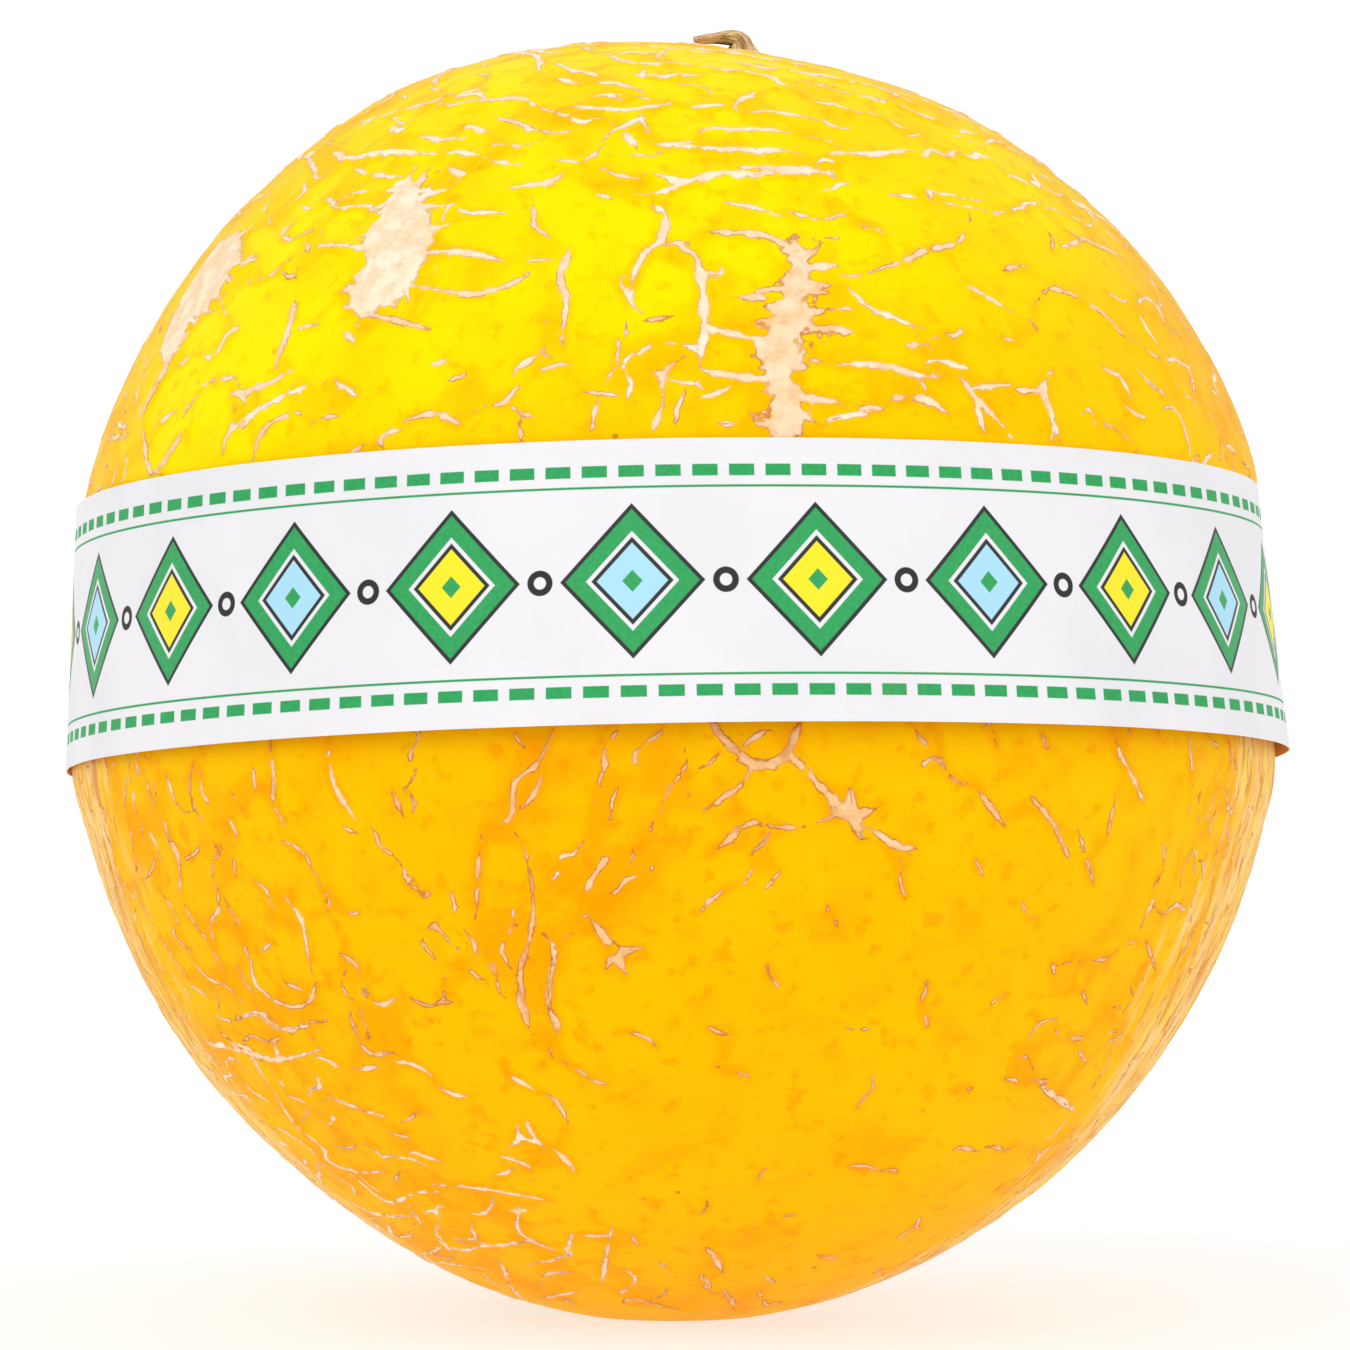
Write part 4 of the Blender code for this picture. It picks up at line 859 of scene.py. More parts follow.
def stations(way, half_width, spacing):
    """Places along a vein, with its direction and half width at each."""
    gaps = np.linalg.norm(np.diff(way, axis=0), axis=1) * MEAN_RADIUS
    run = np.concatenate([[0], np.cumsum(gaps)])
    count = max(2, round(run[-1] / spacing))
    wanted = np.linspace(0, run[-1], count + 1)
    places = unit(np.stack([np.interp(wanted, run, way[:, axis]) for axis in range(3)], axis=1))
    ahead = np.gradient(places, axis=0)
    return places, unit(ahead), np.interp(wanted, run, half_width)


def vein_corners(way, half_width):
    """Corners on a vein's crest, sides and feet, or all over it where it is a patch."""
    patch = np.max(half_width) > PATCH_HALF_WIDTH
    places, ahead, wide = stations(way, half_width, PATCH_SPACING if patch else STATION_SPACING)
    side = unit(np.cross(places, ahead))
    tops = [places]
    feet = [places + side * (sign * (wide + FOOT_OUT) / MEAN_RADIUS)[:, None] for sign in (-1, 1)]
    if patch:
        for step in range(1, int(np.max(wide) / PATCH_SPACING) + 1):
            row = wide > step * PATCH_SPACING + FOOT_OUT
            for sign in (-1, 1):
                tops.append(places[row] + side[row] * sign * step * PATCH_SPACING / MEAN_RADIUS)
    elif np.max(half_width) > HAIR_HALF_WIDTHS[1]:
        tops += [places + side * (sign * wide * SIDE_SHARE / MEAN_RADIUS)[:, None] for sign in (-1, 1)]
    return unit(np.concatenate(tops)), unit(np.concatenate(feet))


def thinned(directions):
    """One direction of each small cell, in the order given."""
    cells = np.floor(directions * (MEAN_RADIUS / CLOSEST_CORNERS)).astype(np.int64)
    first = np.unique(cells, axis=0, return_index=True)[1]
    return directions[np.sort(first)]


def clear_of(directions, kept, apart):
    """The directions that are at least this far from all those kept."""
    tree = KDTree(len(kept))
    for number, direction in enumerate(kept):
        tree.insert(direction, number)
    tree.balance()
    far = [tree.find(direction)[2] * MEAN_RADIUS > apart for direction in directions]
    return directions[np.array(far)]


def fine_corners(net):
    """Where the skin's corners go: close along the veins, and wide between them."""
    rows = [vein_corners(way, half_width) for way, half_width, *_ in net]
    corners = thinned(np.concatenate([tops for tops, _ in rows]))
    feet = thinned(np.concatenate([feet for _, feet in rows]))
    corners = np.concatenate([corners, clear_of(feet, corners, CLOSEST_CORNERS)])
    count = round(4 * math.pi * (MEAN_RADIUS / FILL_SPACING) ** 2 / FILL_CELL)
    number = np.arange(count)
    up = 1 - (2 * number + 1) / count
    level = np.sqrt(1 - up * up)
    golden = number * math.pi * (3 - math.sqrt(5))
    fill = np.stack([level * np.cos(golden), level * np.sin(golden), up], axis=1)
    corners = np.concatenate([corners, clear_of(fill, corners, FILL_CLEAR)])
    return corners[corners[:, 2] > -math.cos(REST_ANGLE + RIM_CLEAR / MEAN_RADIUS)]


def band_axes():
    """The band's own frame: two directions across it, and the one along its axis."""
    back = math.radians(BAND_TIP_BACK)
    left = math.radians(BAND_TIP_LEFT)
    up = unit(np.array([-math.sin(left), math.sin(back), math.cos(back)]))
    ahead = unit(np.cross(up, np.array([1.0, 0.0, 0.0])))
    return np.cross(ahead, up), ahead, up


def rind_reach(turn, height):
    """How far the rind lies from the band's axis, at a turn round it and a height along it."""
    right, ahead, up = band_axes()
    out = right * math.sin(turn) - ahead * math.cos(turn)
    reach = HALF_WIDTH
    for _ in range(REACH_ROUNDS):
        point = out * reach + up * (BAND_MIDDLE + height)
        distance = np.linalg.norm(point)
        reach *= 1 + (float(rind_radius(point / distance)) - distance) / distance
    return reach


def band_flare(turn):
    """How fast the band widens downwards: most on the right."""
    return BAND_FLARE + BAND_FLARE_RIGHT * np.sin(turn)


def band_inside(turn):
    """The band's inner radius at its mid height: its straight side just clears the rind, but on the right."""
    heights = np.linspace(-BAND_WIDTH / 2, BAND_WIDTH / 2, BAND_LEVELS)
    widest = max(rind_reach(turn, height) + band_flare(turn) * height for height in heights)
    return widest + BAND_CLEAR - BAND_PULL_RIGHT * max(0.0, math.sin(turn)) ** 2


def held_in(corners):
    """Corners, with the fruit's centre at the origin, moved in to where the tight paper band holds them."""
    right, ahead, up = band_axes()
    height = corners @ up
    flat = corners - height[:, None] * up
    height = height - BAND_MIDDLE
    reach = np.linalg.norm(flat, axis=1) + 1e-9
    turn = np.arctan2(flat @ right, -(flat @ ahead))
    turns = np.linspace(-math.pi, math.pi, BAND_TURNS)
    inside = np.interp(turn, turns, [band_inside(step) for step in turns])
    beyond = np.maximum(0, np.abs(height) - BAND_WIDTH / 2)
    most = inside - band_flare(turn) * height - SKIN_CLEAR + EDGE_SLOPE * beyond
    return corners - flat * np.maximum(0, 1 - most / reach)[:, None]


def fruit_skin():
    """The fruit as one closed skin, whose corners carry what its colours need to know about the net."""
    net = whole_net()
    inner = fine_corners(net)
    rim_turns = 2 * math.pi * np.arange(REST_CORNERS) / REST_CORNERS
    level = math.sin(REST_ANGLE)
    rim = np.stack([level * np.cos(rim_turns), level * np.sin(rim_turns)], axis=1)
    rim = np.column_stack([rim, np.full(REST_CORNERS, -math.cos(REST_ANGLE))])
    directions = np.concatenate([rim, inner, [[0, 0, -1]]])
    height, inside, tone, crack = net_relief(directions, net)
    corners = held_in(rind_point(directions, height))
    corners[:REST_CORNERS] = rim * (CENTRE_HEIGHT / math.cos(REST_ANGLE))
    corners[:, 2] += CENTRE_HEIGHT
    corners[:REST_CORNERS, 2] = 0.0
    corners[-1] = (0, 0, 0)
    flat_map = directions[:-1, :2] / (1 + directions[:-1, 2])[:, None]
    faces = delaunay_2d_cdt([tuple(place) for place in flat_map], [], [], 0, 1e-9, False)[2]
    faces = [tuple(face) for face in faces]
    last = len(corners) - 1
    faces += [((number + 1) % REST_CORNERS, number, last) for number in range(REST_CORNERS)]
    mesh = bpy.data.meshes.new("netted rind")
    mesh.from_pydata(corners.tolist(), [], faces)
    mesh.shade_smooth()
    for name, values in (("inside_mm", inside * 1000), ("tone", tone), ("crack", crack)):
        mesh.attributes.new(name, "FLOAT", "POINT").data.foreach_set("value", values)
    return mesh


def linear(code):
    """A colour of the paint chart, such as ffc800, as Blender wants it."""
    parts = [int(code[place : place + 2], 16) / 255 for place in (0, 2, 4)]
    parts = [part / 12.92 if part <= 0.04045 else ((part + 0.055) / 1.055) ** 2.4 for part in parts]
    return (*parts, 1.0)


def new_node(tree, kind, **settings):
    """A node with its settings. Those named in_ and a number go on that input."""
    made = tree.nodes.new("ShaderNode" + kind)
    for name, value in settings.items():
        if not name.startswith("in_"):
            setattr(made, name, value)
    for name, value in settings.items():
        if name.startswith("in_"):
            join(tree, value, made.inputs[int(name[3:])])
    return made


def join(tree, value, entry):
    """Feeds an input with another node's output or with a plain value."""
    if isinstance(value, bpy.types.NodeSocket):
        tree.links.new(value, entry)
    else:
        entry.default_value = value


def reckon(tree, operation, *values):
    """The result of one sum on values and outputs."""
    entries = {f"in_{place}": value for place, value in enumerate(values)}
    return new_node(tree, "Math", operation=operation, **entries).outputs[0]


def ease(tree, value, low, high, start=0.0, end=1.0):
    """Start up to low and end from high on, with a smooth step between them."""
    made = new_node(tree, "MapRange", interpolation_type="SMOOTHSTEP")
    for place, given in enumerate((value, low, high, start, end)):
        join(tree, given, made.inputs[place])
    return made.outputs[0]


def blended(tree, share, under, over):
    """The colour under, with a share of the colour over laid on it."""
    made = new_node(tree, "Mix", data_type="RGBA")
    for place, given in ((0, share), (6, under), (7, over)):
        join(tree, given, made.inputs[place])
    return made.outputs[2]


def new_material(name, roughness):
    """An empty material, its tree and its shader."""
    material = bpy.data.materials.new(name)
    material.use_nodes = True
    shader = material.node_tree.nodes["Principled BSDF"]
    shader.inputs["Roughness"].default_value = roughness
    return material, material.node_tree, shader


def mottling():
    """Uneven cloudy patches: a smooth step between two levels of a noise fixed to the piece."""
    group = bpy.data.node_groups.new("mottling", "ShaderNodeTree")
    usual = {"Waves per metre": 100.0, "Low": 0.4, "High": 0.6, "Detail": 2.0, "Upright": 1.0}
    for name, value in usual.items():
        entry = group.interface.new_socket(name, in_out="INPUT", socket_type="NodeSocketFloat")
        entry.default_value = value
    group.interface.new_socket("Cover", in_out="OUTPUT", socket_type="NodeSocketFloat")
    given = group.nodes.new("NodeGroupInput").outputs
    place = new_node(group, "TexCoord").outputs["Object"]
    stretch = new_node(group, "CombineXYZ", in_0=1.0, in_1=1.0, in_2=given[4]).outputs[0]
    place = new_node(group, "VectorMath", operation="MULTIPLY", in_0=place, in_1=stretch).outputs[0]
    noise = new_node(group, "TexNoise")
    group.links.new(place, noise.inputs["Vector"])
    group.links.new(given[0], noise.inputs["Scale"])
    group.links.new(given[3], noise.inputs["Detail"])
    cover = ease(group, noise.outputs[0], given[1], given[2])
    group.links.new(cover, group.nodes.new("NodeGroupOutput").inputs[0])
    return group


MOTTLING = mottling()


def mottled(tree, waves, low, high, detail=2.0, upright=1.0):
    """How far the mottling covers each place, from 0 to 1."""
    made = tree.nodes.new("ShaderNodeGroup")
    made.node_tree = MOTTLING
    for place, value in enumerate((waves, low, high, detail, upright)):
        made.inputs[place].default_value = value
    return made.outputs[0]


def dotted(tree, waves, size, share):
    """Small round specks, of a size against their spacing, in a share of the places that could have one."""
    cells = new_node(tree, "TexVoronoi", feature="F1")
    tree.links.new(new_node(tree, "TexCoord").outputs["Object"], cells.inputs["Vector"])
    cells.inputs["Scale"].default_value = waves
    spot_mask = ease(tree, cells.outputs["Distance"], size, size * 0.55)
    chance = new_node(tree, "SeparateColor", in_0=cells.outputs["Color"]).outputs[0]
    kept = reckon(tree, "LESS_THAN", chance, share)
    return reckon(tree, "MULTIPLY", spot_mask, kept)


def meridian_streaks(tree, waves, low, high):
    """Fine streaks that run from pole to pole."""
    place = new_node(tree, "TexCoord").outputs["Object"]
    parts = new_node(tree, "SeparateXYZ", in_0=place).outputs
    level = new_node(tree, "CombineXYZ", in_0=parts[0], in_1=parts[1], in_2=0.0).outputs[0]
    around = new_node(tree, "VectorMath", operation="NORMALIZE", in_0=level).outputs[0]
    girth = (HALF_WIDTH, HALF_WIDTH, 0.0)
    around = new_node(tree, "VectorMath", operation="MULTIPLY", in_0=around, in_1=girth).outputs[0]
    height = reckon(tree, "MULTIPLY", parts[2], 0.20)
    upright = new_node(tree, "CombineXYZ", in_0=0.0, in_1=0.0, in_2=height).outputs[0]
    place = new_node(tree, "VectorMath", operation="ADD", in_0=around, in_1=upright).outputs[0]
    noise = new_node(tree, "TexNoise")
    tree.links.new(place, noise.inputs["Vector"])
    noise.inputs["Scale"].default_value = waves
    noise.inputs["Detail"].default_value = 2.0
    noise.inputs["Distortion"].default_value = 0.7
    return ease(tree, noise.outputs[0], low, high)


def distance_from_axis(tree, place):
    """How far each point is from the fruit's upright axis."""
    depth = reckon(tree, "MULTIPLY", place[1], place[1])
    return reckon(tree, "SQRT", reckon(tree, "MULTIPLY_ADD", place[0], place[0], depth))


def corky_film(tree, skin, place):
    """The skin with a thin streaked film of cork over the fruit's flanks, below the band most of all."""
    aside = reckon(tree, "DIVIDE", place[0], distance_from_axis(tree, place))
    wobble = reckon(tree, "MULTIPLY_ADD", mottled(tree, 70, 0.3, 0.7, 3.0), 0.07, -0.040)
    wobble = reckon(tree, "MULTIPLY_ADD", meridian_streaks(tree, 420, 0.3, 0.7), 0.06, wobble)
    right = ease(tree, reckon(tree, "ADD", aside, wobble), 0.885, 0.965)
    left = ease(tree, reckon(tree, "SUBTRACT", wobble, aside), 0.915, 0.990)
    flank = reckon(tree, "MAXIMUM", right, left)
    flank = reckon(tree, "MULTIPLY", flank, ease(tree, place[2], 0.070, 0.092, 0.88, 0.10))
    film = blended(tree, meridian_streaks(tree, 260, 0.44, 0.58), linear("fbc660"), linear("fdd868"))
    pale = reckon(tree, "MULTIPLY", meridian_streaks(tree, 480, 0.50, 0.58), 0.75)
    film = blended(tree, pale, film, linear("fdd8a0"))
    tan = meridian_streaks(tree, 620, 0.52, 0.57)
    tan = reckon(tree, "MULTIPLY", tan, mottled(tree, 260, 0.36, 0.56, 3.0))
    film = blended(tree, reckon(tree, "MULTIPLY", tan, 0.80), film, linear("dd8a34"))
    return blended(tree, flank, skin, film)


def ripe_skin(tree, place):
    """Waxy skin, lemon above and golden below, ripest on the cheek and mottled all over, with painted shade:
    deeper gold towards its base and at its left and right edges.
    """
    sunny = reckon(tree, "MULTIPLY_ADD", place[0], -0.35, place[2])
    lemon = reckon(tree, "MULTIPLY", ease(tree, sunny, 0.090, 0.120), ease(tree, place[2], 0.078, 0.094))
    skin = blended(tree, ease(tree, place[2], 0.070, 0.100), linear("ffc200"), linear("ffcf00"))
    skin = blended(tree, lemon, skin, linear("ffea00"))
    # Painted shade: the skin turns deeper gold towards the bottom, where the fruit is in shade
    skin = blended(tree, ease(tree, place[2], 0.024, 0.002, 0.0, 0.15), skin, linear("ffb000"))
    deep = reckon(tree, "MULTIPLY", mottled(tree, 42, 0.42, 0.66, 4.0), 0.34)
    skin = blended(tree, deep, skin, linear("ffb400"))

    aside = reckon(tree, "ADD", place[0], 0.010)
    below = reckon(tree, "ADD", place[2], -0.0545)
    ripest = reckon(tree, "MULTIPLY_ADD", aside, aside, reckon(tree, "MULTIPLY", below, below))
    ripest = ease(tree, reckon(tree, "SQRT", ripest), 0.018, 0.004)
    clouds = reckon(tree, "MULTIPLY_ADD", mottled(tree, 150, 0.35, 0.65, 3.0), 0.55, 0.20)
    skin = blended(tree, reckon(tree, "MULTIPLY", ripest, clouds), skin, linear("ffa200"))

    share = ease(tree, place[2], 0.06, 0.11, 0.44, 0.26)
    blotch = reckon(tree, "MULTIPLY", mottled(tree, 150, 0.50, 0.72, 5.0), share)
    skin = blended(tree, blotch, skin, linear("ffa000"))
    share = ease(tree, place[2], 0.06, 0.11, 0.46, 0.26)
    fleck = reckon(tree, "MULTIPLY", mottled(tree, 420, 0.56, 0.70, 4.0), share)
    skin = blended(tree, fleck, skin, linear("f99200"))

    # Painted shade: deeper gold on the left and right edges as seen from the front, below the crown
    rim = reckon(tree, "DIVIDE", reckon(tree, "ABSOLUTE", place[0]), distance_from_axis(tree, place))
    rim = reckon(tree, "MULTIPLY", ease(tree, rim, 0.84, 0.98), ease(tree, place[2], 0.075, 0.095, 0.0, 0.55))
    skin = blended(tree, rim, skin, linear("f8b000"))
    share = ease(tree, place[2], 0.09, 0.12, 0.0, 0.30)
    green = reckon(tree, "MULTIPLY", mottled(tree, 30, 0.5, 0.66), share)
    return blended(tree, green, skin, linear("eeec00"))


def blemished_skin(tree, skin, place, inside):
    """The skin, more orange close to the net, with small brown specks and the film of cork on its flanks."""
    halo = ease(tree, inside, -0.9, -0.05)
    halo = reckon(tree, "MULTIPLY", halo, mottled(tree, 170, 0.36, 0.60))
    halo = reckon(tree, "MULTIPLY", halo, ease(tree, place[2], 0.06, 0.11, 0.48, 0.30))
    skin = blended(tree, halo, skin, linear("ff9600"))
    specks = reckon(tree, "MULTIPLY", dotted(tree, 230, 0.13, 0.16), 0.40)
    skin = blended(tree, specks, skin, linear("ee8208"))
    specks = reckon(tree, "MULTIPLY", dotted(tree, 130, 0.055, 0.25), 0.65)
    skin = blended(tree, specks, skin, linear("c06408"))
    return corky_film(tree, skin, place)


def frayed_depth(tree, inside, tone):
    """How deep inside the net each place is, in millimetres, with frayed edges and gaps in the cork."""
    fray = reckon(tree, "MULTIPLY_ADD", mottled(tree, 750, 0.28, 0.72, 2.0), 0.26, inside)
    fray = reckon(tree, "MULTIPLY_ADD", mottled(tree, 1900, 0.25, 0.75, 3.0), 0.14, fray)
    fray = reckon(tree, "ADD", fray, -0.20)
    share = ease(tree, tone, 0.1, 0.6, -0.25, -0.52)
    gaps = reckon(tree, "MULTIPLY", mottled(tree, 300, 0.52, 0.66, 2.0), share)
    return reckon(tree, "ADD", fray, reckon(tree, "MULTIPLY", gaps, ease(tree, inside, 1.1, 0.6)))


def dry_cork(tree, fray, tone, pits):
    """Cork from cream to tan, with painted shade: darker at its sides and in its pits."""
    lie = reckon(tree, "MULTIPLY_ADD", mottled(tree, 420, 0.3, 0.7, 3.0), 0.34, tone)
    lie = reckon(tree, "ADD", lie, -0.17)
    bark = blended(tree, ease(tree, lie, 0.0, 0.35), linear("fff0d4"), linear("fddcb4"))
    bark = blended(tree, ease(tree, lie, 0.32, 0.66), bark, linear("f8c68c"))
    bark = blended(tree, ease(tree, lie, 0.66, 1.0), bark, linear("e8a466"))
    # Painted shade on the sloping sides of the raised cork
    side = reckon(tree, "MULTIPLY", ease(tree, fray, 0.22, 0.05), ease(tree, tone, 0.1, 0.6, 0.25, 0.75))
    bark = blended(tree, side, bark, linear("e09a54"))
    # Painted shade in the cork's pits
    return blended(tree, reckon(tree, "MULTIPLY", pits, 0.24), bark, linear("e2a468"))


def painted_edge_shade(tree, fray, tone):
    """How strongly the thin brown line along the cork's edge shows: painted shade at the foot of the raised
    net.
    """
    line = ease(tree, reckon(tree, "ABSOLUTE", reckon(tree, "ADD", fray, -0.02)), 0.13, 0.0)
    line = reckon(tree, "MULTIPLY", line, mottled(tree, 460, 0.38, 0.58, 2.0))
    return reckon(tree, "MULTIPLY", line, ease(tree, tone, 0.15, 0.55, 0.34, 0.78))


def raised(tree, shader, relief, strength, distance):
    """Gives a material a fine relief."""
    bump = new_node(tree, "Bump")
    bump.inputs["Strength"].default_value = strength
    bump.inputs["Distance"].default_value = distance
    tree.links.new(relief, bump.inputs["Height"])
    tree.links.new(bump.outputs[0], shader.inputs["Normal"])


def ripe_rind():
    """Waxy skin with dull cork where the net is."""
    material, tree, shader = new_material("ripe rind", 0.5)
    shader.inputs["Specular IOR Level"].default_value = 0.02
    place = new_node(tree, "SeparateXYZ", in_0=new_node(tree, "TexCoord").outputs["Object"]).outputs
    inside = new_node(tree, "Attribute", attribute_name="inside_mm").outputs["Fac"]
    tone = new_node(tree, "Attribute", attribute_name="tone").outputs["Fac"]
    crack = new_node(tree, "Attribute", attribute_name="crack").outputs["Fac"]

    skin = blemished_skin(tree, ripe_skin(tree, place), place, inside)
    fray = frayed_depth(tree, inside, tone)
    cork = ease(tree, fray, -0.06, 0.06)
    pits = mottled(tree, 1100, 0.50, 0.74, 4.0)
    colours = blended(tree, cork, skin, dry_cork(tree, fray, tone, pits))
    # Painted shade: a thin brown line along the edges of the raised cork
    colours = blended(tree, painted_edge_shade(tree, fray, tone), colours, linear("c8702a"))
    split = reckon(tree, "MULTIPLY", ease(tree, crack, 0.40, 0.95), mottled(tree, 600, 0.40, 0.58))
    split = reckon(tree, "MULTIPLY", split, cork)
    colours = blended(tree, reckon(tree, "MULTIPLY", split, 0.75), colours, linear("a45c2c"))
    tree.links.new(colours, shader.inputs["Base Color"])
    tree.links.new(ease(tree, cork, 0.0, 1.0, 0.46, 0.86), shader.inputs["Roughness"])

    pores = reckon(tree, "MULTIPLY", mottled(tree, 900, 0.3, 0.7, 3.0), 0.10)
    relief = reckon(tree, "ADD", pores, ease(tree, fray, -0.06, 0.16, 0.0, 0.18))
    crumbs = reckon(tree, "MULTIPLY", mottled(tree, 1700, 0.25, 0.8, 4.0), cork)
    relief = reckon(tree, "MULTIPLY_ADD", crumbs, 0.30, relief)
    relief = reckon(tree, "MULTIPLY_ADD", reckon(tree, "MULTIPLY", pits, cork), -0.3, relief)
    relief = reckon(tree, "MULTIPLY_ADD", split, -0.2, relief)
    raised(tree, shader, relief, 1.0, 0.00022)
    return material


def new_piece(name, mesh, material, node):
    """Puts a piece in the scene in place of the node of that name."""
    piece = bpy.data.objects.new(name, mesh)
    bpy.context.scene.collection.objects.link(piece)
    mesh.materials.append(material)
    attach(piece, "root")
    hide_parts(node)


new_piece("melon", fruit_skin(), ripe_rind(), "fruit")

# Band
# A strip of white label paper, 30 mm wide, wrapped tight round the waist, its free end glued over its start
# at the back. It is printed all over with a plain made-up pattern: a row of lozenges between dashed lines.

PAPER = 0.00018
BAND_SIDES = 300
BAND_ROWS = 12
LAP_LENGTH = 0.0140
LAP_RAMP = 0.0060
LAP_TURN = 171.0
LAP_STEP = 0.00024
RIPPLE = 0.00006


def paper_strip():
    """The strip as one closed piece, with the distances along and across it kept for its print."""
    right, ahead, up = band_axes()
    start = math.radians(LAP_TURN)
    lap = LAP_LENGTH / HALF_WIDTH
    ramp = LAP_RAMP / HALF_WIDTH
    turns = np.linspace(start, start + 2 * math.pi + lap, BAND_SIDES)
    corners = []
    along = []
    across = []
    inner = []
    travelled = 0.0
    for number, turn in enumerate(turns):
        radius = band_inside(turn)
        step = (turns[1] - turns[0]) * radius
        travelled += step if number else 0.0
        lift = min(1.0, max(0.0, (turn - (start + 2 * math.pi - ramp)) / ramp))
        lift = LAP_STEP * lift * lift * (3 - 2 * lift)
        out = right * math.sin(turn) - ahead * math.cos(turn)
        for side in (0.0, PAPER):
            for row in range(BAND_ROWS + 1):
                height = BAND_WIDTH * (row / BAND_ROWS - 0.5)
                edge = (height / (BAND_WIDTH / 2)) ** 4
                ripple = math.sin(9 * turn + 0.6) + 0.7 * math.sin(17 * turn + 2.1)
                ripple += 0.5 * math.sin(31 * turn)
                reach = radius - band_flare(turn) * height + side + lift + RIPPLE * edge * ripple
                corners.append(out * reach + up * (BAND_MIDDLE + height) + (0, 0, CENTRE_HEIGHT))
                along.append(travelled * 1000)
                across.append(height * 1000)
                # The inner side is marked here so that its colour can carry painted shade and the fruit's
                # painted orange reflection
                inner.append(0.0 if side else 1.0)
    ring = 2 * (BAND_ROWS + 1)
    top = BAND_ROWS
    loop = list(range(top + 1)) + [top + 1 + row for row in range(top, -1, -1)]
    faces = [tuple(loop)]
    for number in range(BAND_SIDES - 1):
        here = number * ring
        there = here + ring
        for first, second in zip(loop, loop[1:] + loop[:1]):
            faces.append((here + second, here + first, there + first, there + second))
    faces.append(tuple((BAND_SIDES - 1) * ring + corner for corner in reversed(loop)))
    mesh = bpy.data.meshes.new("paper strip")
    mesh.from_pydata([tuple(corner) for corner in corners], [], faces)
    mesh.shade_smooth()
    mesh.set_sharp_from_angle(angle=math.radians(40))
    for name, values in (("along_mm", along), ("across_mm", across), ("inner", inner)):
        mesh.attributes.new(name, "FLOAT", "POINT").data.foreach_set("value", values)
    return mesh


# The print, in millimetres: the lozenges with their nested edges from the outside in, the small rings between
# them, and the rows of dashes and thin lines along both sides
LOZENGE_PITCH = 19.5
LOZENGE_HALF_LENGTH = 7.6
LOZENGE_HALF_HEIGHT = 8.2
LOZENGE_EDGES = (6.0, 5.55, 3.85, 3.40, 2.95, 0.85)
RING_EDGES = (1.35, 0.65)
DASH_PITCH = 3.9
DASH_HALF_LENGTH = 1.35
DASH_ROW = 11.6
DASH_HALF_HEIGHT = 0.62
THIN_LINE = 9.9
THIN_LINE_HALF_HEIGHT = 0.13
INK_EDGE = 0.05


